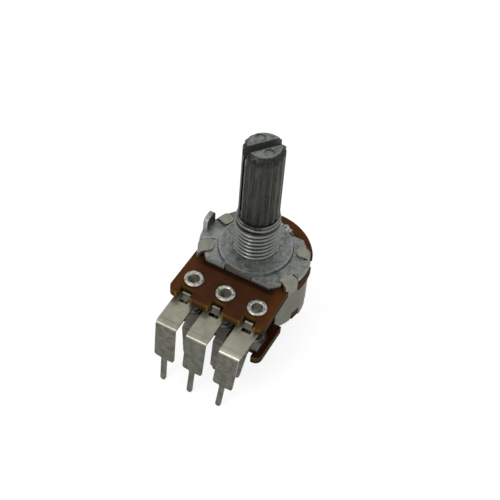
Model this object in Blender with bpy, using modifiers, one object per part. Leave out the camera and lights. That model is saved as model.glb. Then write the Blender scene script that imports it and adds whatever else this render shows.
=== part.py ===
"""Dual-gang rotary potentiometer, 16 mm class, with a knurled split shaft.

The origin lies on the shaft axis, in the face of the round step that bears on a panel.
+Z runs along the shaft to its tip, and the terminals point to -Y.
"""

import math

import bmesh
import bpy

MM = 0.001

# Clearances
SEAT_GAP = 0.25 * MM          # between sheets, boards and mouldings that bear on each other
RUNNING_GAP = 0.25 * MM       # between what turns and what stands still
UNION_LAP = 0.1 * MM          # how deep one form of a casting or pressing runs into the next

# The body's round outline, which the boards share and the casting and the shell keep just inside
WAFER_RADIUS = 8.25 * MM
PLATE_INSET = 0.15 * MM
SHELL_INSET = 0.35 * MM

# Front casting: plate, round step, threaded bushing, locating lug and broken gate
PLATE_RADIUS = WAFER_RADIUS - PLATE_INSET
STEP_MARGIN = 2.8 * MM        # of plate left round the step
STEP_RADIUS = PLATE_RADIUS - STEP_MARGIN
STEP_HEIGHT = 0.45 * MM
PLATE_THICKNESS = 1.0 * MM
PLATE_FRONT_TRIM = 2.8 * MM   # what the straight front edge takes off the round plate
PLATE_FRONT = PLATE_RADIUS - PLATE_FRONT_TRIM
PLATE_FRONT_NARROWING = 1.9 * MM
PLATE_FRONT_HALF = PLATE_RADIUS - PLATE_FRONT_NARROWING
PLATE_CORNER = 1.2 * MM
PLATE_BACK_TRIM = 3.5 * MM    # what the straight back edge takes off it
PLATE_BACK = PLATE_RADIUS - PLATE_BACK_TRIM
PLATE_BACK_NARROWING = 2.8 * MM
PLATE_BACK_HALF = PLATE_RADIUS - PLATE_BACK_NARROWING
PLATE_BACK_CUT = 1.9 * MM
PLATE_RIM_END = math.radians(15.0)
PAD_HALF = 2.2 * MM           # the flat pad in the middle of the front edge
PAD_SETBACK = 0.15 * MM
BUSHING_HEIGHT = 7.0 * MM
BUSHING_NECK = 3.0 * MM
BUSHING_STEPS = 48
THREAD_RADIUS = 3.3 * MM
THREAD_DEPTH = 0.25 * MM
THREAD_PITCH = 0.75 * MM
THREAD_TURNS = 7
THREAD_TOP = 5.54 * MM        # level of the highest groove
THREAD_FOOT = 0.03 * MM       # how much wider the bushing's foot is than its thread
LUG_INSET = 0.15 * MM         # of its outer face behind the plate's rim
LUG_OUTSIDE = PLATE_RADIUS - LUG_INSET
LUG_THICKNESS = 0.7 * MM
LUG_HALF_WIDTH = 1.18 * MM
LUG_HEIGHT = 2.0 * MM         # above the panel face
LUG_ROUNDING = 0.85 * MM
GATE_LEFT = 0.9 * MM
GATE_RIGHT = 3.2 * MM
GATE_REACH = 1.3 * MM         # how far the broken gate stands out behind the plate

# Shaft
SHAFT_DIAMETER = 5.8 * MM     # over the knurl
SHAFT_LENGTH = 20.0 * MM      # from the panel face to the tip
SHAFT_TIP_CHAMFER = 0.55 * MM
KNURL_TEETH = 18
KNURL_DEPTH = 0.26 * MM
KNURL_END_GAP = 0.35 * MM     # smooth length between the bushing and the knurl
JOURNAL_RADIUS = 2.5 * MM
COLLAR_RADIUS = 3.6 * MM
COLLAR_THICKNESS = 1.2 * MM
DRIVE_RADIUS = 2.4 * MM
DRIVE_FLAT = 1.75 * MM        # from the axis to each of the two driving flats
PILOT_RADIUS = 1.25 * MM
PILOT_CHAMFER = 0.25 * MM
SLOT_ANGLE = math.radians(51.0)
SLOT_WIDTH = 1.25 * MM
SLOT_DEPTH = 1.3 * MM
SPLIT_WIDTH = 0.65 * MM
SPLIT_DEPTH = 12.0 * MM
MARK_RADIUS = 0.7 * MM
MARK_OFFSET = 1.5 * MM
MARK_DEPTH = 0.1 * MM

# Row of terminals and eyelets
TERMINAL_PITCH = 5.0 * MM
TERMINAL_SIDES = ("left", "middle", "right")
STRIP_HALF = 1.63 * MM
EYELET_SETBACK = 3.42 * MM    # from the plate's front edge to the row of eyelets
EYELET_ROW = PLATE_FRONT + EYELET_SETBACK

# Phenolic wafers
WAFER_THICKNESS = 1.35 * MM
TONGUE_REACH = 3.13 * MM      # beyond the eyelets
TONGUE_FRONT = EYELET_ROW + TONGUE_REACH
FRONT_TONGUE_MARGIN = 0.85 * MM
REAR_TONGUE_MARGIN = 0.77 * MM
FRONT_TONGUE_HALF = TERMINAL_PITCH + STRIP_HALF + FRONT_TONGUE_MARGIN
REAR_TONGUE_HALF = TERMINAL_PITCH + STRIP_HALF + REAR_TONGUE_MARGIN
TONGUE_ROUNDING = 1.0 * MM
TONGUE_NOTCH_HALF = 1.05 * MM
TONGUE_NOTCH_DEPTH = 1.45 * MM
COLLAR_CLEARANCE = 0.4 * MM
FRONT_WAFER_BORE = COLLAR_RADIUS + COLLAR_CLEARANCE
GANG_SPACE = 5.35 * MM        # between the two wafers
KEY_ANGLE = math.radians(-10.5)
KEY_HALF_WIDTH = 0.75 * MM
TRACK_WIDTH = 0.9 * MM
COLLECTOR_WIDTH = 0.45 * MM
TRACK_RISE = 0.1 * MM
TRACK_GAP_HALF = math.radians(30.0)

# Terminals and eyelets
SHEET_THICKNESS = 0.4 * MM
HEAD_RADIUS = 1.7 * MM
STRIP_OVERHANG = 4.25 * MM    # from the tongue's edge to the fold
FRONT_BEND_START = TONGUE_FRONT + STRIP_OVERHANG
BEND_RADIUS = 0.3 * MM        # inside the fold
BEND_STEPS = 6
LEG_SPLAY = math.radians(5.3)
LEG_HALF = 1.53 * MM
LEG_LENGTH = 6.05 * MM
LEG_ROUNDING = 0.5 * MM       # of the left shoulder, which is worn rounder than the right
SHOULDER_ROUNDING = 0.25 * MM
SHOULDER_DROP = 0.15 * MM     # how much lower the right shoulder ends
PIN_LEVEL = -14.6 * MM        # where the ends of all six pins lie
FRONT_PIN_HALF = 0.4 * MM
FRONT_LEG_LEANS = (0.027, -0.02, -0.066)
FRONT_STRIP_SHIFTS = (0.1 * MM, -0.12 * MM, 0.0)
WINDOW_HALF = 0.62 * MM
WINDOW_REACH = 0.15 * MM      # beyond the tongue's edge
TAB_SETBACK = 0.6 * MM
WINDOW_FRONT = TONGUE_FRONT + WINDOW_REACH
TAB_FRONT = TONGUE_FRONT - TAB_SETBACK
TAB_HALF = 0.5 * MM
TAB_RISE = 1.0 * MM
REAR_HEAD_SETBACK = 0.85 * MM
REAR_BEND_SETBACK = 0.05 * MM
REAR_HEAD_FRONT = TONGUE_FRONT - REAR_HEAD_SETBACK
REAR_BEND_START = TONGUE_FRONT - REAR_BEND_SETBACK
REAR_LEG_HALF = 0.72 * MM
REAR_PIN_HALF = 0.3 * MM
REAR_PIN_LENGTH = 0.6 * MM
REAR_SHOULDER_ROUNDING = 0.4 * MM
REAR_LEG_OFFSETS = (1.1 * MM, 1.08 * MM, -0.12 * MM)    # of each leg's middle from its eyelet's
REAR_LEG_LEANS = (0.063, -0.04, -0.15)
EYELET_HOLE = 1.25 * MM
EYELET_TUBE = 1.0 * MM
EYELET_BORE = 0.72 * MM
EYELET_FLANGE = 1.45 * MM
EYELET_FOOT = 1.3 * MM
FLANGE_THICKNESS = 0.25 * MM

# Housing shell and its ears
SHELL_RADIUS = WAFER_RADIUS - SHELL_INSET
SHELL_WALL = 0.4 * MM
SHELL_OPENING = math.radians(52.0)      # half of the opening towards the terminals
FRONT_EAR_BEND = 0.9 * MM     # inside the fold of the ears over the plate
REAR_EAR_BEND = 0.45 * MM
EAR_TIP_ROUNDING = 0.6 * MM
EAR_INSET = 0.02 * MM         # how far a strap lies inside the faces of the wall it grows from
EAR_RELIEF = 0.3 * MM         # beside an ear that is cut out of the skirt
EAR_SLOT_CLEARANCE = 0.2 * MM
EAR_SLOT_REACH = 0.15 * MM    # how far a slot for an ear is cut beyond the front wafer's rim
# Each ear: its angle, how far its rounded tip reaches in from the wall, its half width, and how
# far the fold pushed its tip aside
FRONT_EARS = (
    (math.radians(-22.5), 0.8 * MM, 0.98 * MM, -0.7 * MM),
    (math.radians(20.0), 1.6 * MM, 0.9 * MM, 0.0),
    (math.radians(159.3), 2.0 * MM, 0.88 * MM, 0.0),
    (math.radians(209.2), 1.5 * MM, 1.05 * MM, 0.0),
)
REAR_EARS = (
    (math.radians(-24.5), 1.45 * MM, 0.9 * MM, 0.0),
    (math.radians(22.5), 1.45 * MM, 0.9 * MM, 0.0),
    (math.radians(157.5), 1.45 * MM, 0.9 * MM, 0.0),
    (math.radians(204.5), 1.45 * MM, 0.9 * MM, 0.0),
)

# Rotors and wipers
ROTOR_MARGIN = 1.6 * MM       # between a rotor's rim and the shell
ROTOR_RADIUS = SHELL_RADIUS - SHELL_WALL - ROTOR_MARGIN
ROTOR_THICKNESS = 1.2 * MM
ROTOR_FACE_GAP = 1.25 * MM    # from a wafer to the rotor that faces it
STOP_LUG_HEIGHT = 0.85 * MM
LUG_STOP_RADIUS = ROTOR_RADIUS + STOP_LUG_HEIGHT
STOP_HALF_ANGLE = math.radians(14.0)
STOP_INNER_RADIUS = ROTOR_RADIUS + RUNNING_GAP
MIDDLE_TO_REST = math.radians(-39.0)    # how far the shaft is turned from mid travel
WIPER_THICKNESS = 0.15 * MM
TRACK_INSET = 0.4 * MM        # from a rotor's rim to the middle of the track
TRACK_SPACING = 0.95 * MM
RING_SPACING = 0.65 * MM
TRACK_RADIUS = ROTOR_RADIUS - TRACK_INSET
COLLECTOR_RADIUS = TRACK_RADIUS - TRACK_SPACING
WIPER_RING = COLLECTOR_RADIUS - RING_SPACING
WIPER_FINGER_SWEEP = math.radians(42.0)
WIPER_BRIDGE_HALF = math.radians(7.0)
FINGER_HALF = 0.17 * MM

# Levels along the shaft, worked out from the sizes above
PLATE_TOP = -STEP_HEIGHT
PLATE_BOTTOM = PLATE_TOP - PLATE_THICKNESS
FRONT_WAFER_TOP = PLATE_BOTTOM - SEAT_GAP
FRONT_WAFER_BOTTOM = FRONT_WAFER_TOP - WAFER_THICKNESS
REAR_WAFER_TOP = FRONT_WAFER_BOTTOM - GANG_SPACE
REAR_WAFER_BOTTOM = REAR_WAFER_TOP - WAFER_THICKNESS
FRONT_STRIP_TOP = FRONT_WAFER_BOTTOM - SEAT_GAP
FRONT_STRIP_BOTTOM = FRONT_STRIP_TOP - SHEET_THICKNESS
REAR_STRIP_BOTTOM = REAR_WAFER_TOP + SEAT_GAP
REAR_STRIP_TOP = REAR_STRIP_BOTTOM + SHEET_THICKNESS
SHELL_TOP = FRONT_WAFER_BOTTOM - SEAT_GAP
SHELL_BOTTOM = REAR_WAFER_TOP + SEAT_GAP
REAR_EAR_FACE = REAR_WAFER_BOTTOM - SEAT_GAP
SKIRT_BOTTOM = REAR_EAR_FACE - SEAT_GAP
FRONT_ROTOR_TOP = FRONT_WAFER_BOTTOM - ROTOR_FACE_GAP
FRONT_ROTOR_BOTTOM = FRONT_ROTOR_TOP - ROTOR_THICKNESS
REAR_ROTOR_BOTTOM = REAR_WAFER_TOP + ROTOR_FACE_GAP
REAR_ROTOR_TOP = REAR_ROTOR_BOTTOM + ROTOR_THICKNESS
SHELL_INSIDE = SHELL_RADIUS - SHELL_WALL
REAR_WAFER_RADIUS = SHELL_INSIDE - SEAT_GAP
REAR_WAFER_BORE = PILOT_RADIUS + RUNNING_GAP
BUSHING_BORE = JOURNAL_RADIUS + RUNNING_GAP
WAFER_SLOT_RADIUS = SHELL_INSIDE - SEAT_GAP
PLATE_SLOT_RADIUS = WAFER_SLOT_RADIUS - SEAT_GAP
REST_LUG_ANGLE = math.radians(-90.0) + MIDDLE_TO_REST
STOP_ANGLE = math.radians(90.0)

ROUND_STEPS = 60
SMALL_STEPS = 20
WELD = 0.0005 * MM


def clear_scene():
    """Remove whatever the file holds, the startup objects included."""
    for item in list(bpy.data.objects):
        bpy.data.objects.remove(item, do_unlink=True)


def new_collection(name):
    group = bpy.data.collections.new(name)
    bpy.context.scene.collection.children.link(group)
    return group


clear_scene()
PART = new_collection("dual_gang_potentiometer")
CUTTERS = new_collection("cutters")


def make_material(name, colour, roughness, metallic):
    """A Principled surface with one colour, for every piece of the same stock."""
    material = bpy.data.materials.new(name)
    material.use_nodes = True
    shader = material.node_tree.nodes["Principled BSDF"]
    shader.inputs["Base Color"].default_value = (*colour, 1.0)
    shader.inputs["Roughness"].default_value = roughness
    shader.inputs["Metallic"].default_value = metallic
    return material


ZINC = make_material("zinc_casting", (0.33, 0.36, 0.37), 0.45, 1.0)
SHAFT_ZINC = make_material("shaft_zinc", (0.22, 0.23, 0.22), 0.5, 1.0)
PHENOLIC = make_material("phenolic_board", (0.13, 0.035, 0.012), 0.5, 0.0)
TINNED_BRASS = make_material("tinned_terminal", (0.45, 0.43, 0.38), 0.35, 1.0)
EYELET_TIN = make_material("eyelet_tin", (0.6, 0.6, 0.56), 0.3, 1.0)
TINNED_STEEL = make_material("tinned_steel", (0.36, 0.36, 0.33), 0.4, 1.0)
BLACK_NYLON = make_material("black_nylon", (0.015, 0.015, 0.016), 0.5, 0.0)
WIPER_BRONZE = make_material("wiper_bronze", (0.45, 0.27, 0.11), 0.35, 1.0)


def place(item, material):
    """Put a finished piece in the part's collection and give it its material."""
    PART.objects.link(item)
    item.data.materials.clear()
    item.data.materials.append(material)
    return item


def keep_as_cutter(item):
    """Put a shape that only cuts or joins in the cutters' collection."""
    CUTTERS.objects.link(item)
    item.hide_render = True
    item.display_type = "WIRE"
    return item


def combine(item, other, operation):
    """Add a Boolean modifier that joins the other shape to the piece or cuts it away."""
    step = item.modifiers.new(other.name, "BOOLEAN")
    step.operation = operation
    step.solver = "EXACT"
    step.object = other
    return item


def cut(item, *cutters):
    for cutter in cutters:
        combine(item, cutter, "DIFFERENCE")


def join(item, *additions):
    for addition in additions:
        combine(item, addition, "UNION")


def polar(radius, angle):
    return radius * math.cos(angle), radius * math.sin(angle)


def arc(radius, start, end, steps, centre=(0.0, 0.0)):
    """Points on an arc, both ends included."""
    points = []
    for index in range(steps + 1):
        x, y = polar(radius, start + (end - start) * index / steps)
        points.append((centre[0] + x, centre[1] + y))
    return points


def circle(radius, steps, centre=(0.0, 0.0)):
    return arc(radius, 0.0, math.tau, steps, centre)[:-1]


def double_d(radius, flat, turn=SLOT_ANGLE, steps=10):
    """A round bar or hole with two parallel flats square to the slot."""
    limit = math.acos(flat / radius)
    points = []
    for side in (0.0, math.pi):
        points += arc(radius, side + limit + turn, side + math.pi - limit + turn, steps)
    return points


def flat_solid(name, loops, low, high):
    """Fill a flat outline (first loop) round its holes (the others) between two levels."""
    curve = bpy.data.curves.new(name, "CURVE")
    curve.dimensions = "2D"
    curve.fill_mode = "BOTH"
    curve.extrude = (high - low) / 2
    for loop in loops:
        spline = curve.splines.new("POLY")
        spline.points.add(len(loop) - 1)
        for point, (x, y) in zip(spline.points, loop):
            point.co = (x, y, 0.0, 1.0)
        spline.use_cyclic_u = True
    guide = bpy.data.objects.new(name + "_outline", curve)
    guide.location.z = (low + high) / 2
    bpy.context.scene.collection.objects.link(guide)
    bpy.context.view_layer.update()
    evaluated = guide.evaluated_get(bpy.context.evaluated_depsgraph_get())
    mesh = bpy.data.meshes.new_from_object(evaluated)
    mesh.name = name
    mesh.transform(guide.matrix_world)
    bpy.data.objects.remove(guide)
    weld(mesh)
    return bpy.data.objects.new(name, mesh)


def weld(mesh):
    """Close the seams between an outline's caps and its sides, and make the caps whole faces."""
    work = bmesh.new()
    work.from_mesh(mesh)
    bmesh.ops.remove_doubles(work, verts=work.verts, dist=WELD)
    bmesh.ops.dissolve_degenerate(work, dist=WELD, edges=work.edges)
    bmesh.ops.dissolve_limit(
        work, angle_limit=math.radians(0.1), verts=work.verts, edges=work.edges,
        use_dissolve_boundaries=False,
    )
    bmesh.ops.recalc_face_normals(work, faces=work.faces)
    work.to_mesh(mesh)
    work.free()


def turned(name, profile, closed=False, steps=ROUND_STEPS):
    """Turn a profile of (radius, level) points, given from top to bottom, about Z."""
    mesh = bpy.data.meshes.new(name)
    count = len(profile)
    edges = [(index, index + 1) for index in range(count - 1)]
    if closed:
        edges.append((count - 1, 0))
    mesh.from_pydata([(radius, 0.0, level) for radius, level in profile], edges, [])
    item = bpy.data.objects.new(name, mesh)
    screw = item.modifiers.new("turn", "SCREW")
    screw.axis = "Z"
    screw.angle = math.tau
    screw.steps = steps
    screw.render_steps = steps
    screw.use_merge_vertices = True
    screw.merge_threshold = WELD
    return item


def box(name, low, high):
    """A block between two corners."""
    centre = [(a + b) / 2 for a, b in zip(low, high)]
    size = [b - a for a, b in zip(low, high)]
    mesh = bpy.data.meshes.new(name)
    work = bmesh.new()
    bmesh.ops.create_cube(work, size=1.0)
    bmesh.ops.scale(work, vec=size, verts=work.verts)
    bmesh.ops.translate(work, vec=centre, verts=work.verts)
    work.to_mesh(mesh)
    work.free()
    return bpy.data.objects.new(name, mesh)


def bend_sheet(item, start, bottom, angle):
    """Fold the sheet beyond y = -start downwards round a bar, and return the fold's arc length.

    bottom is the level of the sheet's underside, which becomes the inside of the fold.
    """
    neutral = BEND_RADIUS + SHEET_THICKNESS / 2
    length = neutral * angle
    axis_level = bottom - BEND_RADIUS
    work = bmesh.new()
    work.from_mesh(item.data)
    for index in range(BEND_STEPS + 1):
        fold_line = (0.0, -start - length * index / BEND_STEPS, 0.0)
        everything = work.verts[:] + work.edges[:] + work.faces[:]
        bmesh.ops.bisect_plane(
            work, geom=everything, plane_co=fold_line, plane_no=(0.0, 1.0, 0.0), dist=WELD
        )
    for vertex in work.verts:
        beyond = -start - vertex.co.y
        if beyond <= 0.0:
            continue
        turned_by = min(beyond / neutral, angle)
        straight = max(beyond - length, 0.0)
        radius = vertex.co.z - axis_level
        vertex.co.y = -start - radius * math.sin(turned_by) - straight * math.cos(turned_by)
        vertex.co.z = axis_level + radius * math.cos(turned_by) - straight * math.sin(turned_by)
    work.to_mesh(item.data)
    work.free()
    return length


def lean_leg(item, start_level, lean):
    """Push a leg sideways in proportion to its drop below a level, as rough handling does."""
    for vertex in item.data.vertices:
        drop = start_level - vertex.co.z
        if drop > 0.0:
            vertex.co.x += lean * drop


def rounded_corner(corner, before, after, radius, steps=4):
    """Points of the fillet between two square edges that meet at a corner."""
    towards = [math.copysign(1.0, before[k] - corner[k]) if before[k] != corner[k] else 0.0 for k in (0, 1)]
    onwards = [math.copysign(1.0, after[k] - corner[k]) if after[k] != corner[k] else 0.0 for k in (0, 1)]
    centre = [corner[k] + radius * (towards[k] + onwards[k]) for k in (0, 1)]
    points = []
    for index in range(steps + 1):
        turn = math.pi / 2 * index / steps
        points.append(tuple(
            centre[k] - radius * (onwards[k] * math.cos(turn) + towards[k] * math.sin(turn)) for k in (0, 1)
        ))
    return points


def plate_outline():
    """The flat casting's edge, with straight front and back, cut corners and a pad set back."""
    right = [
        (PAD_HALF, -PLATE_FRONT + PAD_SETBACK),
        (PAD_HALF, -PLATE_FRONT),
        (PLATE_FRONT_HALF - PLATE_CORNER, -PLATE_FRONT),
        (PLATE_FRONT_HALF, -PLATE_FRONT + PLATE_CORNER),
    ]
    right_front = -math.acos(PLATE_FRONT_HALF / PLATE_RADIUS) + math.radians(5.0)
    right += arc(PLATE_RADIUS, right_front, PLATE_RIM_END, 18)
    right += [(PLATE_BACK_HALF + PLATE_BACK_CUT, PLATE_BACK - PLATE_BACK_CUT)]
    right += [(PLATE_BACK_HALF, PLATE_BACK)]
    return right + [(-x, y) for x, y in reversed(right)]


def ear_slots(name, inner_radius):
    """Blocks that clear the ears of the shell through a plate or a wafer."""
    slots = []
    for index, (angle, _, ear_half, _) in enumerate(FRONT_EARS):
        half = ear_half + EAR_SLOT_CLEARANCE
        slot = box(
            f"{name}_{index}",
            (inner_radius, -half, FRONT_WAFER_BOTTOM - WAFER_THICKNESS),
            (WAFER_RADIUS + EAR_SLOT_REACH, half, STEP_HEIGHT),
        )
        slot.rotation_euler.z = angle
        slots.append(keep_as_cutter(slot))
    return slots


def bushing_profile():
    """Threaded bushing and round step, from the rim of the bushing down to the plate."""
    root = THREAD_RADIUS - THREAD_DEPTH
    flat = THREAD_PITCH / 8
    chamfer = THREAD_RADIUS - BUSHING_NECK
    crest = THREAD_TOP + THREAD_PITCH / 2 + flat
    points = [(0.0, BUSHING_HEIGHT), (BUSHING_NECK, BUSHING_HEIGHT)]
    points += [(BUSHING_NECK, crest + chamfer), (THREAD_RADIUS, crest), (THREAD_RADIUS, crest - flat * 2)]
    for turn in range(THREAD_TURNS):
        groove = THREAD_TOP - turn * THREAD_PITCH
        points.append((root, groove))
        points.append((THREAD_RADIUS, groove - THREAD_PITCH / 2 + flat))
        points.append((THREAD_RADIUS, groove - THREAD_PITCH / 2 - flat))
    points += [(root, THREAD_TOP - THREAD_TURNS * THREAD_PITCH), (THREAD_RADIUS + THREAD_FOOT, 0.0)]
    points.append((STEP_RADIUS, 0.0))
    points += [(STEP_RADIUS, PLATE_TOP - UNION_LAP), (0.0, PLATE_TOP - UNION_LAP)]
    return points


def front_pad():
    """Carries the round step forward to the middle of the front edge."""
    pad = box(
        "front_pad",
        (-PAD_HALF, -PLATE_FRONT + PAD_SETBACK, PLATE_TOP - UNION_LAP),
        (PAD_HALF, -STEP_RADIUS * 0.8, 0.0),
    )
    return keep_as_cutter(pad)


def locating_lug():
    """The upright tongue that keeps the housing from turning in its panel."""
    half = LUG_HALF_WIDTH
    low = PLATE_BOTTOM
    left = (-half, LUG_HEIGHT)
    right = (half, LUG_HEIGHT)
    outline = [(-half, low), (half, low)]
    outline += rounded_corner(right, (half, low), left, LUG_ROUNDING, 6)
    outline += rounded_corner(left, right, (-half, low), LUG_ROUNDING, 6)
    lug = flat_solid("locating_lug", [outline], -LUG_THICKNESS / 2, LUG_THICKNESS / 2)
    lug.rotation_euler = (math.radians(90.0), 0.0, math.radians(90.0))
    lug.location.x = -LUG_OUTSIDE + LUG_THICKNESS / 2
    return keep_as_cutter(lug)


def gate_scar():
    """What is left of the metal that fed the casting, broken off behind the plate."""
    width = GATE_RIGHT - GATE_LEFT
    outline = [
        (GATE_LEFT, PLATE_BACK - UNION_LAP),
        (GATE_RIGHT, PLATE_BACK - UNION_LAP),
        (GATE_RIGHT - width * 0.05, PLATE_BACK + GATE_REACH * 0.55),
        (GATE_RIGHT - width * 0.3, PLATE_BACK + GATE_REACH * 0.7),
        (GATE_RIGHT - width * 0.5, PLATE_BACK + GATE_REACH),
        (GATE_RIGHT - width * 0.8, PLATE_BACK + GATE_REACH * 0.8),
        (GATE_LEFT + width * 0.05, PLATE_BACK + GATE_REACH),
    ]
    return keep_as_cutter(flat_solid("gate_scar", [outline], PLATE_BOTTOM + UNION_LAP, -STEP_HEIGHT / 3))


def make_front_plate():
    plate = flat_solid("front_plate", [plate_outline()], PLATE_BOTTOM, PLATE_TOP)
    cut(plate, *ear_slots("plate_ear_slot", PLATE_SLOT_RADIUS))
    join(plate, locating_lug(), gate_scar(), front_pad())
    join(plate, keep_as_cutter(turned("bushing_body", bushing_profile(), steps=BUSHING_STEPS)))
    bore = turned("bushing_bore", [
        (0.0, BUSHING_HEIGHT + UNION_LAP),
        (BUSHING_BORE, BUSHING_HEIGHT + UNION_LAP),
        (BUSHING_BORE, PLATE_BOTTOM - UNION_LAP),
        (0.0, PLATE_BOTTOM - UNION_LAP),
    ], steps=BUSHING_STEPS)
    cut(plate, keep_as_cutter(bore))
    return place(plate, ZINC)


def knurl_outline():
    """Rounded teeth round the shaft, with a flattened crest and root."""
    outside = SHAFT_DIAMETER / 2
    points = []
    for tooth in range(KNURL_TEETH):
        middle = math.tau * tooth / KNURL_TEETH
        for share, drop in ((-0.5, 1.0), (-0.3, 0.6), (-0.12, 0.0), (0.12, 0.0), (0.3, 0.6)):
            angle = middle + share * math.tau / KNURL_TEETH
            points.append(polar(outside - drop * KNURL_DEPTH, angle))
    return points


def shaft_core_profile():
    """The smooth journal, the retaining collar and the pilot, from the knurl downwards."""
    collar_top = PLATE_BOTTOM - RUNNING_GAP
    collar_bottom = collar_top - COLLAR_THICKNESS
    pilot_top = REAR_ROTOR_BOTTOM
    pilot_end = REAR_WAFER_BOTTOM + SEAT_GAP
    return [
        (0.0, BUSHING_HEIGHT + KNURL_END_GAP + UNION_LAP),
        (JOURNAL_RADIUS, BUSHING_HEIGHT + KNURL_END_GAP + UNION_LAP),
        (JOURNAL_RADIUS, collar_top),
        (COLLAR_RADIUS, collar_top),
        (COLLAR_RADIUS, collar_bottom),
        (PILOT_RADIUS, collar_bottom),
        (PILOT_RADIUS, min(pilot_top, collar_bottom - UNION_LAP)),
        (PILOT_RADIUS, pilot_end + PILOT_CHAMFER),
        (PILOT_RADIUS - PILOT_CHAMFER, pilot_end),
        (0.0, pilot_end),
    ]


def make_shaft():
    """Knurled shaft with its screwdriver slot, split, journal, collar, drive flats and pilot."""
    shaft = flat_solid("shaft", [knurl_outline()], BUSHING_HEIGHT + KNURL_END_GAP, SHAFT_LENGTH)
    outside = SHAFT_DIAMETER / 2
    tip = turned("tip_form", [
        (0.0, SHAFT_LENGTH + UNION_LAP),
        (outside - SHAFT_TIP_CHAMFER, SHAFT_LENGTH + UNION_LAP),
        (outside - SHAFT_TIP_CHAMFER, SHAFT_LENGTH),
        (outside + UNION_LAP, SHAFT_LENGTH - SHAFT_TIP_CHAMFER - UNION_LAP),
        (outside + UNION_LAP, BUSHING_HEIGHT + KNURL_END_GAP + KNURL_DEPTH),
        (outside - KNURL_DEPTH - UNION_LAP, BUSHING_HEIGHT + KNURL_END_GAP - UNION_LAP),
        (0.0, BUSHING_HEIGHT + KNURL_END_GAP - UNION_LAP),
    ])
    combine(shaft, keep_as_cutter(tip), "INTERSECT")
    join(shaft, keep_as_cutter(turned("shaft_core", shaft_core_profile())))
    collar_bottom = PLATE_BOTTOM - RUNNING_GAP - COLLAR_THICKNESS
    drive = flat_solid(
        "drive_flats", [double_d(DRIVE_RADIUS, DRIVE_FLAT)], REAR_ROTOR_BOTTOM, collar_bottom + UNION_LAP
    )
    join(shaft, keep_as_cutter(drive))
    half = outside + UNION_LAP
    slot = box(
        "screwdriver_slot",
        (-half, -SLOT_WIDTH / 2, SHAFT_LENGTH - SLOT_DEPTH),
        (half, SLOT_WIDTH / 2, SHAFT_LENGTH + UNION_LAP),
    )
    split = box(
        "shaft_split",
        (-half, -SPLIT_WIDTH / 2, SHAFT_LENGTH - SPLIT_DEPTH),
        (half, SPLIT_WIDTH / 2, SHAFT_LENGTH + UNION_LAP),
    )
    for cutter in (slot, split):
        cutter.rotation_euler.z = SLOT_ANGLE
        cut(shaft, keep_as_cutter(cutter))
    for side in (-1, 1):
        x, y = polar(MARK_OFFSET, SLOT_ANGLE + side * math.pi / 2)
        mark = flat_solid(
            "tip_mark", [circle(MARK_RADIUS, SMALL_STEPS, (x, y))],
            SHAFT_LENGTH - MARK_DEPTH, SHAFT_LENGTH + UNION_LAP,
        )
        cut(shaft, keep_as_cutter(mark))
    return place(shaft, SHAFT_ZINC)


def terminal_places():
    """Name and x of each terminal, from left to right seen from the front."""
    return [(side, (index - 1) * TERMINAL_PITCH) for index, side in enumerate(TERMINAL_SIDES)]


def tongue_points(half):
    """The three straight sides of a wafer's tongue, from its right shoulder to its left."""
    right = (half, -TONGUE_FRONT)
    left = (-half, -TONGUE_FRONT)
    points = rounded_corner(right, left, (half, 0.0), TONGUE_ROUNDING, 5)
    points.reverse()
    more = rounded_corner(left, right, (-half, 0.0), TONGUE_ROUNDING, 5)
    return points + more


def notches_and_holes(name, half_height_low, half_height_high):
    """Cutters for the notches in a tongue's front edge."""
    cutters = []
    for side, x in terminal_places():
        notch = box(
            f"{name}_{side}",
            (x - TONGUE_NOTCH_HALF, -TONGUE_FRONT - WAFER_THICKNESS, half_height_low),
            (x + TONGUE_NOTCH_HALF, -TONGUE_FRONT + TONGUE_NOTCH_DEPTH, half_height_high),
        )
        cutters.append(keep_as_cutter(notch))
    return cutters


def printed_track(name, low, high):
    """The carbon track with its two leads, and the collector ring with its lead, as raised print."""
    inner = TRACK_RADIUS - TRACK_WIDTH / 2
    outer = TRACK_RADIUS + TRACK_WIDTH / 2
    start = math.radians(-90.0) + TRACK_GAP_HALF
    end = math.radians(270.0) - TRACK_GAP_HALF
    lead = EYELET_ROW - EYELET_HOLE - SEAT_GAP
    horseshoe = arc(outer, start + math.radians(9.0), end - math.radians(9.0), 40)
    horseshoe += [(-TERMINAL_PITCH - EYELET_HOLE / 2, -lead), (-TERMINAL_PITCH + EYELET_HOLE, -lead)]
    horseshoe += arc(inner, end, start, 40)
    horseshoe += [(TERMINAL_PITCH - EYELET_HOLE, -lead), (TERMINAL_PITCH + EYELET_HOLE / 2, -lead)]
    inner = COLLECTOR_RADIUS - COLLECTOR_WIDTH / 2
    outer = COLLECTOR_RADIUS + COLLECTOR_WIDTH / 2
    half = math.radians(7.0)
    ring = arc(outer, math.radians(-90.0) + half, math.radians(270.0) - half, 44)
    ring += [(-EYELET_HOLE / 2, -lead), (EYELET_HOLE / 2, -lead)]
    hole = circle(inner, 44)
    track = keep_as_cutter(flat_solid(name + "_track", [horseshoe], low, high))
    collector = keep_as_cutter(flat_solid(name + "_collector", [ring, hole], low, high))
    return track, collector


def eyelet_holes():
    return [circle(EYELET_HOLE, SMALL_STEPS, (x, -EYELET_ROW)) for _, x in terminal_places()]


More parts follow.
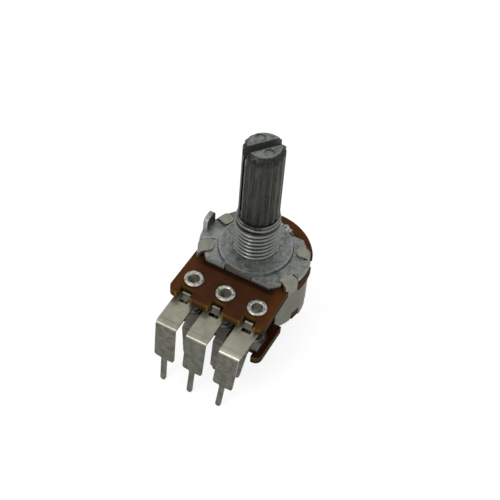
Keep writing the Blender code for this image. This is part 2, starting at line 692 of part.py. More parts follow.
def make_front_wafer():
    """Round board as wide as the plate, with the tongue that carries the front terminals."""
    shoulder = math.acos(min(FRONT_TONGUE_HALF, WAFER_RADIUS) / WAFER_RADIUS)
    rim = arc(WAFER_RADIUS, -shoulder, math.pi + shoulder, 48)
    outline = tongue_points(FRONT_TONGUE_HALF)
    outline.reverse()
    if FRONT_TONGUE_HALF > WAFER_RADIUS:
        rim = [(FRONT_TONGUE_HALF, 0.0), *rim, (-FRONT_TONGUE_HALF, 0.0)]
    outline += rim
    loops = [outline, circle(FRONT_WAFER_BORE, ROUND_STEPS), *eyelet_holes()]
    wafer = flat_solid("front_wafer", loops, FRONT_WAFER_BOTTOM, FRONT_WAFER_TOP)
    join(wafer, *printed_track(
        "front", FRONT_WAFER_BOTTOM - TRACK_RISE, FRONT_WAFER_BOTTOM + UNION_LAP
    ))
    cut(wafer, *ear_slots("wafer_ear_slot", WAFER_SLOT_RADIUS))
    cut(wafer, *notches_and_holes("front_tongue_notch", FRONT_WAFER_BOTTOM - WAFER_THICKNESS, 0.0))
    return place(wafer, PHENOLIC)


def rear_wafer_outline():
    """Board that sits inside the shell's skirt, with two keys that stand out through it."""
    shoulder = SHELL_RADIUS * math.cos(SHELL_OPENING) + SEAT_GAP
    key_turn = math.asin(KEY_HALF_WIDTH / REAR_WAFER_RADIUS)
    right = [(REAR_TONGUE_HALF, -shoulder)]
    right += arc(REAR_WAFER_RADIUS, -math.asin(shoulder / REAR_WAFER_RADIUS), KEY_ANGLE - key_turn, 6)
    key_out = math.asin(KEY_HALF_WIDTH / WAFER_RADIUS)
    right += [polar(WAFER_RADIUS, KEY_ANGLE - key_out), polar(WAFER_RADIUS, KEY_ANGLE + key_out)]
    right += arc(REAR_WAFER_RADIUS, KEY_ANGLE + key_turn, math.radians(90.0), 20)
    left = [(-x, y) for x, y in reversed(right[:-1])]
    front = tongue_points(REAR_TONGUE_HALF)
    front.reverse()
    return front + right + left


def make_rear_wafer():
    loops = [rear_wafer_outline(), circle(REAR_WAFER_BORE, SMALL_STEPS), *eyelet_holes()]
    wafer = flat_solid("rear_wafer", loops, REAR_WAFER_BOTTOM, REAR_WAFER_TOP)
    join(wafer, *printed_track("rear", REAR_WAFER_TOP - UNION_LAP, REAR_WAFER_TOP + TRACK_RISE))
    cut(wafer, *notches_and_holes(
        "rear_tongue_notch", REAR_WAFER_BOTTOM - WAFER_THICKNESS, REAR_WAFER_TOP + WAFER_THICKNESS
    ))
    return place(wafer, PHENOLIC)


def head_points(x):
    """The rounded head of a terminal behind its eyelet, from its right side to its left."""
    side = math.acos(STRIP_HALF / HEAD_RADIUS)
    return arc(HEAD_RADIUS, side, math.pi - side, 14, (x, -EYELET_ROW))


def pin_points(x, half, end):
    """The rounded end of a pin, from its left side to its right, at a developed length."""
    return arc(half, math.pi, math.tau, 6, (x, -end + half))


def make_front_terminal(side, eyelet_x, shift, lean):
    """Strip under the front wafer, folded down into a broad leg that ends in a pin."""
    x = eyelet_x + shift
    angle = math.pi / 2 - LEG_SPLAY
    fold = (BEND_RADIUS + SHEET_THICKNESS / 2) * angle
    axis_level = FRONT_STRIP_BOTTOM - BEND_RADIUS
    shoulder = FRONT_BEND_START + fold + LEG_LENGTH
    end = FRONT_BEND_START + fold + (axis_level - PIN_LEVEL) / math.sin(angle)
    narrow = FRONT_BEND_START + fold
    outline = head_points(x)
    outline += [(x - STRIP_HALF, -FRONT_BEND_START), (x - LEG_HALF, -narrow)]
    left_low = (x - LEG_HALF, -shoulder)
    left_root = (x - FRONT_PIN_HALF, -shoulder)
    outline += rounded_corner(left_low, (x - LEG_HALF, 0.0), left_root, LEG_ROUNDING)
    outline += rounded_corner(
        left_root, (x - LEG_HALF, left_root[1]), (x - FRONT_PIN_HALF, -end), SHOULDER_ROUNDING
    )
    outline += pin_points(x, FRONT_PIN_HALF, end)
    right_low = (x + LEG_HALF, -shoulder - SHOULDER_DROP)
    right_root = (x + FRONT_PIN_HALF, -shoulder - SHOULDER_DROP)
    outline += rounded_corner(
        right_root, (x + FRONT_PIN_HALF, -end), right_low, SHOULDER_ROUNDING
    )
    outline += rounded_corner(right_low, right_root, (x + LEG_HALF, 0.0), SHOULDER_ROUNDING)
    outline += [(x + LEG_HALF, -narrow), (x + STRIP_HALF, -FRONT_BEND_START)]
    window = [
        (x - WINDOW_HALF, -WINDOW_FRONT), (x + WINDOW_HALF, -WINDOW_FRONT),
        (x + WINDOW_HALF, -TAB_FRONT), (x - WINDOW_HALF, -TAB_FRONT),
    ]
    hole = circle(EYELET_HOLE, SMALL_STEPS, (eyelet_x, -EYELET_ROW))
    name = f"front_terminal_{side}"
    terminal = flat_solid(name, [outline, window, hole], FRONT_STRIP_BOTTOM, FRONT_STRIP_TOP)
    bend_sheet(terminal, FRONT_BEND_START, FRONT_STRIP_BOTTOM, angle)
    lean_leg(terminal, axis_level, lean)
    tab = box(
        name + "_tab",
        (x - TAB_HALF, -TAB_FRONT + UNION_LAP / 2, FRONT_STRIP_TOP - UNION_LAP),
        (x + TAB_HALF, -TAB_FRONT + SHEET_THICKNESS, FRONT_STRIP_TOP + TAB_RISE),
    )
    join(terminal, keep_as_cutter(tab))
    return place(terminal, TINNED_BRASS)


def make_rear_terminal(side, x, offset, lean):
    """Flat head on the rear wafer with a narrower leg folded down in front of the tongue."""
    angle = math.pi / 2
    fold = (BEND_RADIUS + SHEET_THICKNESS / 2) * angle
    axis_level = REAR_STRIP_BOTTOM - BEND_RADIUS
    end = REAR_BEND_START + fold + axis_level - PIN_LEVEL
    shoulder = end - REAR_PIN_LENGTH
    leg = x + offset
    outline = head_points(x)
    outline += [(x - STRIP_HALF, -REAR_HEAD_FRONT), (leg - REAR_LEG_HALF, -REAR_HEAD_FRONT)]
    left_low = (leg - REAR_LEG_HALF, -shoulder)
    left_root = (leg - REAR_PIN_HALF, -shoulder)
    outline += rounded_corner(left_low, (leg - REAR_LEG_HALF, 0.0), left_root, REAR_SHOULDER_ROUNDING)
    outline += pin_points(leg, REAR_PIN_HALF, end)
    right_low = (leg + REAR_LEG_HALF, -shoulder)
    right_root = (leg + REAR_PIN_HALF, -shoulder)
    outline += rounded_corner(right_low, right_root, (leg + REAR_LEG_HALF, 0.0), REAR_SHOULDER_ROUNDING)
    outline += [(leg + REAR_LEG_HALF, -REAR_HEAD_FRONT), (x + STRIP_HALF, -REAR_HEAD_FRONT)]
    hole = circle(EYELET_HOLE, SMALL_STEPS, (x, -EYELET_ROW))
    terminal = flat_solid(f"rear_terminal_{side}", [outline, hole], REAR_STRIP_BOTTOM, REAR_STRIP_TOP)
    bend_sheet(terminal, REAR_BEND_START, REAR_STRIP_BOTTOM, angle)
    lean_leg(terminal, axis_level, lean)
    return place(terminal, TINNED_BRASS)


def make_eyelet(name, x, upper_face, lower_face):
    """Rolled eyelet that clamps a terminal to its wafer between two faces."""
    top = upper_face + SEAT_GAP
    bottom = lower_face - SEAT_GAP
    lip = FLANGE_THICKNESS / 3
    profile = [
        (EYELET_BORE, top),
        (EYELET_BORE + lip, top + FLANGE_THICKNESS),
        (EYELET_FLANGE - lip, top + FLANGE_THICKNESS),
        (EYELET_FLANGE, top + lip),
        (EYELET_FLANGE - lip / 2, top),
        (EYELET_TUBE, top),
        (EYELET_TUBE, bottom),
        (EYELET_FOOT, bottom),
        (EYELET_FOOT - lip, bottom - FLANGE_THICKNESS),
        (EYELET_BORE, bottom - FLANGE_THICKNESS),
    ]
    eyelet = turned(name, profile, closed=True, steps=SMALL_STEPS)
    eyelet.location = (x, -EYELET_ROW, 0.0)
    return place(eyelet, EYELET_TIN)


def ear_outline(angle, inward, half, aside):
    """Plan of one ear from outside the wall to its rounded tip, turned to its place."""
    tip = SHELL_INSIDE - inward
    out = (-half, WAFER_RADIUS)
    across = (half, WAFER_RADIUS)
    left_tip = (-half, tip)
    right_tip = (half, tip)
    points = [out, (-half, SHELL_INSIDE)]
    points += rounded_corner(left_tip, out, right_tip, EAR_TIP_ROUNDING)
    points += rounded_corner(right_tip, left_tip, across, EAR_TIP_ROUNDING)
    points += [(half, SHELL_INSIDE), across]
    points = [(x - aside * max(0.0, SHELL_INSIDE - y) / inward, y) for x, y in points]
    turn = angle - math.pi / 2
    return [
        (x * math.cos(turn) - y * math.sin(turn), x * math.sin(turn) + y * math.cos(turn)) for x, y in points
    ]


def fold_profile(root, face, bend, tip):
    """Section of a strap that stands inside the wall's thickness and folds in to a flat flange.

    face is the level of the flange's inner side, and the flange lies beyond it, away from the root.
    tip is how near to the axis the flange comes.
    """
    away = math.copysign(1.0, face - root)
    outside = SHELL_RADIUS - EAR_INSET
    inside = SHELL_INSIDE + EAR_INSET
    centre = inside - bend
    level = face - away * bend
    points = [(outside, root)]
    for index in range(BEND_STEPS + 1):
        turn = math.pi / 2 * index / BEND_STEPS
        radius = outside - centre
        points.append((centre + radius * math.cos(turn), level + away * radius * math.sin(turn)))
    points.append((tip, level + away * (outside - centre)))
    points.append((tip, face))
    for index in reversed(range(BEND_STEPS + 1)):
        turn = math.pi / 2 * index / BEND_STEPS
        points.append((centre + bend * math.cos(turn), level + away * bend * math.sin(turn)))
    points.append((inside, root))
    return points


def make_ears(name, ears, root, face, bend):
    """All the ears at one end of the shell, as parts of one folded rim cut to their plans."""
    nearest = SHELL_INSIDE - max(inward for _, inward, _, _ in ears) - EAR_TIP_ROUNDING
    rim = turned(name, fold_profile(root, face, bend, nearest), closed=True)
    low = min(root, face) - SHELL_RADIUS
    high = max(root, face) + SHELL_RADIUS
    plans = flat_solid(name + "_plan", [ear_outline(*ear) for ear in ears], low, high)
    combine(rim, keep_as_cutter(plans), "INTERSECT")
    return keep_as_cutter(rim)


def sector(name, radius, start, end, low, high):
    """A pie-shaped block from the axis outwards, to cut an arc out of a ring."""
    outline = [(0.0, 0.0)] + arc(radius, start, end, 12)
    return keep_as_cutter(flat_solid(name, [outline], low, high))


def make_shell():
    """Ring between the wafers, open to the terminals, with skirt, ears and the rotor's stop."""
    profile = [
        (SHELL_RADIUS, SHELL_TOP), (SHELL_RADIUS, SKIRT_BOTTOM),
        (SHELL_INSIDE, SKIRT_BOTTOM), (SHELL_INSIDE, SHELL_TOP),
    ]
    shell = turned("housing_shell", profile, closed=True)
    reach = SHELL_RADIUS + SHELL_WALL
    front = math.radians(-90.0)
    opening = sector(
        "terminal_opening", reach, front - SHELL_OPENING, front + SHELL_OPENING,
        SKIRT_BOTTOM - SHELL_WALL, SHELL_TOP + SHELL_WALL,
    )
    cut(shell, opening)
    relief_top = REAR_EAR_FACE + REAR_EAR_BEND + UNION_LAP
    windows = [(angle, half + EAR_RELIEF, relief_top) for angle, _, half, _ in REAR_EARS]
    key_half = KEY_HALF_WIDTH + SEAT_GAP
    windows += [(angle, key_half, SHELL_BOTTOM) for angle in (KEY_ANGLE, math.pi - KEY_ANGLE)]
    for index, (angle, half, top) in enumerate(windows):
        window = box(
            f"skirt_window_{index}",
            (SHELL_INSIDE - SHELL_WALL, -half, SKIRT_BOTTOM - SHELL_WALL),
            (reach, half, top),
        )
        window.rotation_euler.z = angle
        cut(shell, keep_as_cutter(window))
    stop = arc(SHELL_INSIDE + SHELL_WALL / 2, STOP_ANGLE - STOP_HALF_ANGLE, STOP_ANGLE + STOP_HALF_ANGLE, 6)
    stop += arc(STOP_INNER_RADIUS, STOP_ANGLE + STOP_HALF_ANGLE, STOP_ANGLE - STOP_HALF_ANGLE, 6)
    join(shell, keep_as_cutter(flat_solid("rotor_stop", [stop], FRONT_ROTOR_BOTTOM, FRONT_ROTOR_TOP)))
    front_root = SHELL_TOP - SHELL_WALL
    front_face = PLATE_TOP + SEAT_GAP
    join(shell, make_ears("front_ears", FRONT_EARS, front_root, front_face, FRONT_EAR_BEND))
    rear_root = SHELL_BOTTOM + SHELL_WALL
    join(shell, make_ears("rear_ears", REAR_EARS, rear_root, REAR_EAR_FACE, REAR_EAR_BEND))
    return place(shell, TINNED_STEEL)


def make_front_rotor():
    """Disc on the shaft's flats, with the lug that meets the shell's stop."""
    low = REST_LUG_ANGLE - STOP_HALF_ANGLE
    high = REST_LUG_ANGLE + STOP_HALF_ANGLE
    outline = arc(LUG_STOP_RADIUS, low, high, 6) + arc(ROTOR_RADIUS, high, low + math.tau, 48)
    bore = double_d(DRIVE_RADIUS + SEAT_GAP, DRIVE_FLAT + SEAT_GAP)
    rotor = flat_solid("front_rotor", [outline, bore], FRONT_ROTOR_BOTTOM, FRONT_ROTOR_TOP)
    return place(rotor, BLACK_NYLON)


def make_rear_rotor():
    bore = double_d(DRIVE_RADIUS + SEAT_GAP, DRIVE_FLAT + SEAT_GAP)
    loops = [circle(ROTOR_RADIUS, ROUND_STEPS), bore]
    return place(flat_solid("rear_rotor", loops, REAR_ROTOR_BOTTOM, REAR_ROTOR_TOP), BLACK_NYLON)


def wiper_outline():
    """A stamped ring with a bridge and two sprung fingers, one on each printed path."""
    start = WIPER_BRIDGE_HALF
    outer = TRACK_RADIUS + FINGER_HALF
    points = arc(WIPER_RING, start, math.tau - start, 36)
    points += arc(outer, -start, WIPER_FINGER_SWEEP, 12)
    points += arc(TRACK_RADIUS - FINGER_HALF, WIPER_FINGER_SWEEP, start, 10)
    points += arc(COLLECTOR_RADIUS + FINGER_HALF, start, WIPER_FINGER_SWEEP, 10)
    points += arc(COLLECTOR_RADIUS - FINGER_HALF, WIPER_FINGER_SWEEP, start, 10)
    return points


def make_wiper(name, base, contact):
    """Wiper that stands off its rotor at a base level and rises to the contact level."""
    turn = SLOT_ANGLE - WIPER_FINGER_SWEEP
    hole = double_d(DRIVE_RADIUS + SEAT_GAP, DRIVE_FLAT + SEAT_GAP, SLOT_ANGLE - turn)
    wiper = flat_solid(name, [wiper_outline(), hole], base, base + WIPER_THICKNESS)
    work = bmesh.new()
    work.from_mesh(wiper.data)
    bmesh.ops.triangulate(work, faces=work.faces)
    lift = contact - base
    for vertex in work.verts:
        angle = math.atan2(vertex.co.y, vertex.co.x)
        along = (angle - WIPER_BRIDGE_HALF) / (WIPER_FINGER_SWEEP - WIPER_BRIDGE_HALF)
        reach = math.hypot(vertex.co.x, vertex.co.y)
        if 0.0 < along < 1.01 and reach > WIPER_RING + UNION_LAP:
            vertex.co.z += lift * along
    work.to_mesh(wiper.data)
    work.free()
    wiper.rotation_euler.z = turn
    return place(wiper, WIPER_BRONZE)


def make_part():
    make_front_plate()
    make_shaft()
    make_front_wafer()
    make_rear_wafer()
    for index, (side, x) in enumerate(terminal_places()):
        make_front_terminal(side, x, FRONT_STRIP_SHIFTS[index], FRONT_LEG_LEANS[index])
        make_rear_terminal(side, x, REAR_LEG_OFFSETS[index], REAR_LEG_LEANS[index])
        make_eyelet(f"front_eyelet_{side}", x, FRONT_WAFER_TOP, FRONT_STRIP_BOTTOM)
        make_eyelet(f"rear_eyelet_{side}", x, REAR_STRIP_TOP, REAR_WAFER_BOTTOM)
    make_shell()
    make_front_rotor()
    make_rear_rotor()
    front_base = FRONT_ROTOR_TOP + SEAT_GAP
    front_contact = FRONT_WAFER_BOTTOM - TRACK_RISE - SEAT_GAP - WIPER_THICKNESS
    make_wiper("front_wiper", front_base, front_contact)
    rear_base = REAR_ROTOR_BOTTOM - SEAT_GAP - WIPER_THICKNESS
    rear_contact = REAR_WAFER_TOP + TRACK_RISE + SEAT_GAP
    make_wiper("rear_wiper", rear_base, rear_contact)


make_part()
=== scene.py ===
"""Looks of the dual-gang potentiometer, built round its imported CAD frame.

Metres, with the origin on the shaft's axis in the panel face, +Z towards the shaft's tip and the
terminals towards -Y.
"""

import math

import bmesh
import bpy
from mathutils import Matrix, Vector, noise


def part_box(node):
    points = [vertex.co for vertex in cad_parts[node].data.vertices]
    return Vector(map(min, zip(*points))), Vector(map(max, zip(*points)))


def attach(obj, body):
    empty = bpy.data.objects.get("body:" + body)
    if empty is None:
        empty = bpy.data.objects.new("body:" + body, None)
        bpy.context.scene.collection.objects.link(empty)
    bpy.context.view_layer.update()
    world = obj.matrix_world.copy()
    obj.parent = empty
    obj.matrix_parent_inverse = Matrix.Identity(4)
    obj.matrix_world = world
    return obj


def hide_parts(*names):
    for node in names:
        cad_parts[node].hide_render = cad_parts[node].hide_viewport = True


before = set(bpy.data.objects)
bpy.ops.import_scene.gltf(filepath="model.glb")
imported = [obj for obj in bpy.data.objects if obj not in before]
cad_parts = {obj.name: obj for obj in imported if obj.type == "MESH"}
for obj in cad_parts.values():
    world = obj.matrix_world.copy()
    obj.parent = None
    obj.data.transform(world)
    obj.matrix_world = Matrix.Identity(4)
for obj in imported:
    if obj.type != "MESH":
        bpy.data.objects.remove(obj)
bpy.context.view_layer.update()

MM = 0.001
HAIR = 0.01 * MM              # places nearer than this count as one
SPECK = 0.001 * MM            # and this where edges lie close together
WELD = 0.0005 * MM            # points nearer than this are merged
SIDES = ("left", "middle", "right")
TERMINAL_PITCH = 5.0 * MM

# Camera, fitted to the photograph's frame of 500 x 500
CAMERA_PLACE = (51.902 * MM, -115.186 * MM, 147.168 * MM)
CAMERA_TURN = (math.radians(40.3015), math.radians(-3.2234), math.radians(28.3959))
CAMERA_LENS = 98.718
CAMERA_SENSOR = 36.0

# Floor and light
FLOOR_LEVEL = -14.62 * MM
FLOOR_SIZE = 900.0 * MM
FLOOR_GLOW = 0.8
DAYLIGHT = 0.8                # level of the world's light on the object
SOFTBOX_PLACE = (-40.0 * MM, -154.0 * MM, 120.0 * MM)
SOFTBOX_SIZE = 50.0 * MM
SOFTBOX_POWER = 0.078

# Casting
STEP_RADIUS = 5.3 * MM
BUSHING_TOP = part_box("front_plate")[1][2]
BORE_LIP = 2.58 * MM          # the bore is closer round the shaft at its mouth
BORE_MOUTH = 2.85 * MM
CASTING_ROUNDING = 0.12 * MM
SPUR_EDGE = Vector((6.4 * MM, -4.1 * MM))      # the plate's spur beside the front right ear
SPUR_SEAT = Vector((6.14 * MM, -3.92 * MM))    # where it is drawn in to
SPUR_REST = Vector((-0.1, 0.25))               # and what its length is worth there, in x and y

# Bushing thread, a right-hand helix whose crests lie at these levels on the camera's side
THREAD_CREST = 3.32 * MM
THREAD_ROOT = 2.94 * MM
THREAD_PITCH = 0.75 * MM
THREAD_PHASE = 0.66 * MM
THREAD_FACING = math.radians(-65.7)
THREAD_FADE = 0.35 * MM       # over which the helix runs out at either end
THREAD_END = 5.35 * MM
THREAD_LEVELS = 130
THREAD_FLANK = (0.12, 0.88)   # from the crest, as shares of half a turn
NECK_RADIUS = 3.0 * MM
NECK_RING = 6.2 * MM          # level of the plain ring above the thread
NECK_RING_HALF = 0.2 * MM
NECK_RING_RISE = 0.15 * MM

# Torn flakes of the gate break: x, y, z and size in millimetres
GATE_FLAKES = (
    (1.2, 5.3, -0.72, 0.3),
    (1.62, 5.22, -0.62, 0.42),
    (2.1, 5.2, -0.6, 0.5),
    (2.6, 5.05, -0.62, 0.42),
    (3.0, 4.88, -0.66, 0.36),
    (2.35, 4.85, -0.48, 0.26),
    (1.8, 4.95, -0.46, 0.22),
)
FLAKE_SHAPE = Vector((1.1, 0.85, 1.0))

# Ears of the shell, pressed down onto the casting, and the front two out to the board's rim
EAR_DROP = 0.22 * MM
EAR_SPREAD = 0.36 * MM
EAR_SPREADING = 0.6 * MM      # height over which a strap leans outwards
EAR_ROOT = -3.3 * MM
EAR_BEND = -1.2 * MM
EAR_STRAP = 7.4 * MM          # radius beyond which an ear's strap lies
EAR_WIDENING = 0.2 * MM       # of the front right ear, towards the terminals
EAR_CUTS = 5                  # rows of points that a strap gets to lean by
FRONT_RIGHT_EAR = (math.radians(-37.0), math.radians(-25.0))

# Slots of the front board for the front ears, drawn in to the straps
SLOT_HEADINGS = (math.radians(209.2), math.radians(-22.5))
SLOT_HALF = 1.6 * MM
SLOT_WALLS = (                # how far out each wall is in the frame, and how far out it stands
    (8.4 * MM, 8.26 * MM),
    (7.25 * MM, 7.68 * MM),
)
SLOT_WALL_NEAR = 0.03 * MM
LEFT_SLOT_END = (math.radians(-143.5), math.radians(-140.5))     # headings
LEFT_SLOT_REACH = (7.2 * MM, 8.8 * MM)     # distances from the origin
LEFT_SLOT_TURN = math.radians(-1.6)

# Keys of the rear board, which end almost flush with the shell, and the shell's windows for them
KEY_REACH = 7.94 * MM
KEY_CORNER = 8.1 * MM
TONGUE_SIDE = 8.6 * MM
KEY_WINDOW_EDGE = -8.15 * MM       # upper edge of the windows in the frame
KEY_WINDOW_NEAR = 0.02 * MM
KEY_WINDOW_LOWERED = -9.0 * MM     # and where it stands
KEY_WINDOW_HEADING = -10.5         # degrees from the x axis on either side
KEY_WINDOW_HALF = 7.9

# Tab and window of the front terminals, as y along the strip
TAB_MIDDLE = -0.12 * MM       # x of a tab's middle, from its eyelet's
TAB_HALF = 0.8 * MM
TAB_FRONT = -12.1 * MM
TAB_BACK = -10.7 * MM
TAB_WIDENING = 1.22
TAB_WINDOW_FRONT = -11.9 * MM
TAB_WINDOW_LENGTHENING = 0.08 * MM

# Shaft
KNURL_FOOT = 7.35 * MM
KNURL_STEP = 0.3 * MM         # height of the chamfer at the knurl's foot
KNURL_LENGTHENING = 0.28 * MM
SPLIT_HEADING = math.radians(51.0)

# Eyelets
EYELET_ROW = -8.72 * MM
EYELET_STEPS = 72
EYELET_RIM = 0.22 * MM        # from the rim's edge up to the top of the CAD eyelet

# Facets and the rounding of edges
FLAT = math.radians(0.6)      # facets that turn less than this are one face
SHARP = math.radians(40.0)    # edges sharper than this are rounded
SMOOTH = math.radians(33.0)   # edges blunter than this are shaded smooth
STRIP_ROUNDING = 0.05 * MM
BOARD_ROUNDING = 0.05 * MM
REAR_BOARD_ROUNDING = 0.03 * MM
MOULDING_ROUNDING = 0.04 * MM

# Levels and rows that the finishes go by
REAR_GANG = -6.5 * MM         # below this level is the rear gang
GANG_SPACING = 6.7 * MM
BOARD_TOP = -1.7 * MM
BOARD_FRONT = -11.5 * MM      # middle of the notches in the front board's edge
PLATE_FRONT = -5.3 * MM
FOLD_CREASE = -15.72 * MM     # the dark crease at the fold of a front terminal
SECOND_CREASE = -15.45 * MM


class Term:
    """A value that varies over a surface. Operators on it add Math nodes to its tree."""

    def __init__(self, nodes, socket):
        self.nodes = nodes
        self.socket = socket

    def math(self, operation, *values):
        return self.nodes.node("ShaderNodeMath", {"operation": operation}, dict(enumerate(values)))

    def __add__(self, other):
        return self.math("ADD", self, other)

    def __radd__(self, other):
        return self.math("ADD", other, self)

    def __sub__(self, other):
        return self.math("SUBTRACT", self, other)

    def __rsub__(self, other):
        return self.math("SUBTRACT", other, self)

    def __mul__(self, other):
        return self.math("MULTIPLY", self, other)

    def __rmul__(self, other):
        return self.math("MULTIPLY", other, self)

    def __pow__(self, other):
        return self.math("POWER", self, other)

    def __abs__(self):
        return self.math("ABSOLUTE", self)

    def most(self, other):
        return self.math("MAXIMUM", self, other)

    def off_pitch(self, pitch):
        """Distance to the nearest whole multiple of a pitch."""
        return self.math("PINGPONG", self, pitch / 2)

    def between(self, low, high):
        """0 below low, 1 above high, and smooth in between."""
        return self.nodes.node(
            "ShaderNodeMapRange",
            {"interpolation_type": "SMOOTHSTEP"},
            {"Value": self, "From Min": low, "From Max": high},
        )

    def outside(self, low, high):
        """1 below low, 0 above high, and smooth in between."""
        return 1.0 - self.between(low, high)


class Nodes:
    """A tree of shader nodes."""

    def __init__(self, tree):
        self.tree = tree

    def node(self, kind, settings, values, output=0):
        """Add a node, set it, feed its sockets, and return one of its outputs."""
        made = self.tree.nodes.new(kind)
        for name, value in settings.items():
            setattr(made, name, value)
        for socket, value in values.items():
            self.feed(made.inputs[socket], value)
        return Term(self, made.outputs[output])

    def feed(self, socket, value):
        """Link a term to a socket, or write a plain value in it."""
        if isinstance(value, Term):
            self.tree.links.new(value.socket, socket)
        elif socket.type == "RGBA" and len(value) == 3:
            socket.default_value = (*value, 1.0)
        else:
            socket.default_value = value

    def blend(self, factor, first, second):
        """Mix two colours."""
        return self.node("ShaderNodeMix", {"data_type": "RGBA"}, {0: factor, 6: first, 7: second}, 2)

    def seen(self):
        """1 on rays from the camera or off metal and glass, and 0 on those that light the object."""
        camera, glossy, through = (
            self.node("ShaderNodeLightPath", {}, {}, f"Is {kind} Ray")
            for kind in ("Camera", "Glossy", "Transmission")
        )
        return camera.most(glossy).most(through)


class Finish(Nodes):
    """A material, and the nodes that vary it over a surface."""

    def __init__(self, name, metallic, **constants):
        self.material = bpy.data.materials.new(name)
        self.material.use_nodes = True
        super().__init__(self.material.node_tree)
        self.shader = self.tree.nodes["Principled BSDF"]
        self.shader.inputs["Metallic"].default_value = metallic
        for socket, value in constants.items():
            self.shader.inputs[socket.replace("_", " ")].default_value = value

    def place(self):
        return self.node("ShaderNodeTexCoord", {}, {}, "Object")

    def axis(self, which):
        """X, Y or Z of a point's place."""
        return self.node("ShaderNodeSeparateXYZ", {}, {0: self.place()}, which)

    def facing(self, which):
        """X, Y or Z of the way that the surface faces."""
        normal = self.node("ShaderNodeNewGeometry", {}, {}, "Normal")
        return self.node("ShaderNodeSeparateXYZ", {}, {0: normal}, which)

    def upright(self, low=0.3, high=0.6):
        """1 on walls, and 0 on faces that look up or down."""
        return abs(self.facing("Z")).outside(low, high)

    def rear_gang(self):
        """1 on the rear gang and 0 on the front one."""
        return self.axis("Z").outside(REAR_GANG - 0.5 * MM, REAR_GANG + 0.5 * MM)

    def board_shadow(self, rear):
        """1 on what the front board hides of the rear gang's strips and eyelets, where a painted shadow
        goes.
        """
        return rear * self.axis("Y").between(-9.9 * MM, -9.5 * MM)

    def clouds(self, size, detail=3.0, roughness=0.5, stretch=(1.0, 1.0, 1.0), shift=(0.0, 0.0, 0.0)):
        """Soft noise from 0 to 1 with features about size millimetres across.

        A stretch below 1 draws them out along its axis.
        """
        scale = tuple(share / size / MM for share in stretch)
        values = {"Vector": self.place(), "Location": shift, "Scale": scale}
        place = self.node("ShaderNodeMapping", {}, values)
        values = {"Vector": place, "Scale": 1.0, "Detail": detail, "Roughness": roughness}
        return self.node("ShaderNodeTexNoise", {}, values)

    def colour(self, value):
        self.feed(self.shader.inputs["Base Color"], value)

    def rough(self, value):
        self.feed(self.shader.inputs["Roughness"], value)

    def metal(self, value):
        self.feed(self.shader.inputs["Metallic"], value)

    def relief(self, height, depth):
        """Bump of that depth in millimetres, where height goes from 0 to 1."""
        bump = self.node("ShaderNodeBump", {}, {"Height": height, "Distance": depth * MM})
        self.feed(self.shader.inputs["Normal"], bump)


def stripe(place, centre, half):
    """1 within half of a place, and fading to 0 as far again outside it."""
    return abs(place - centre).outside(half, half * 2.0)


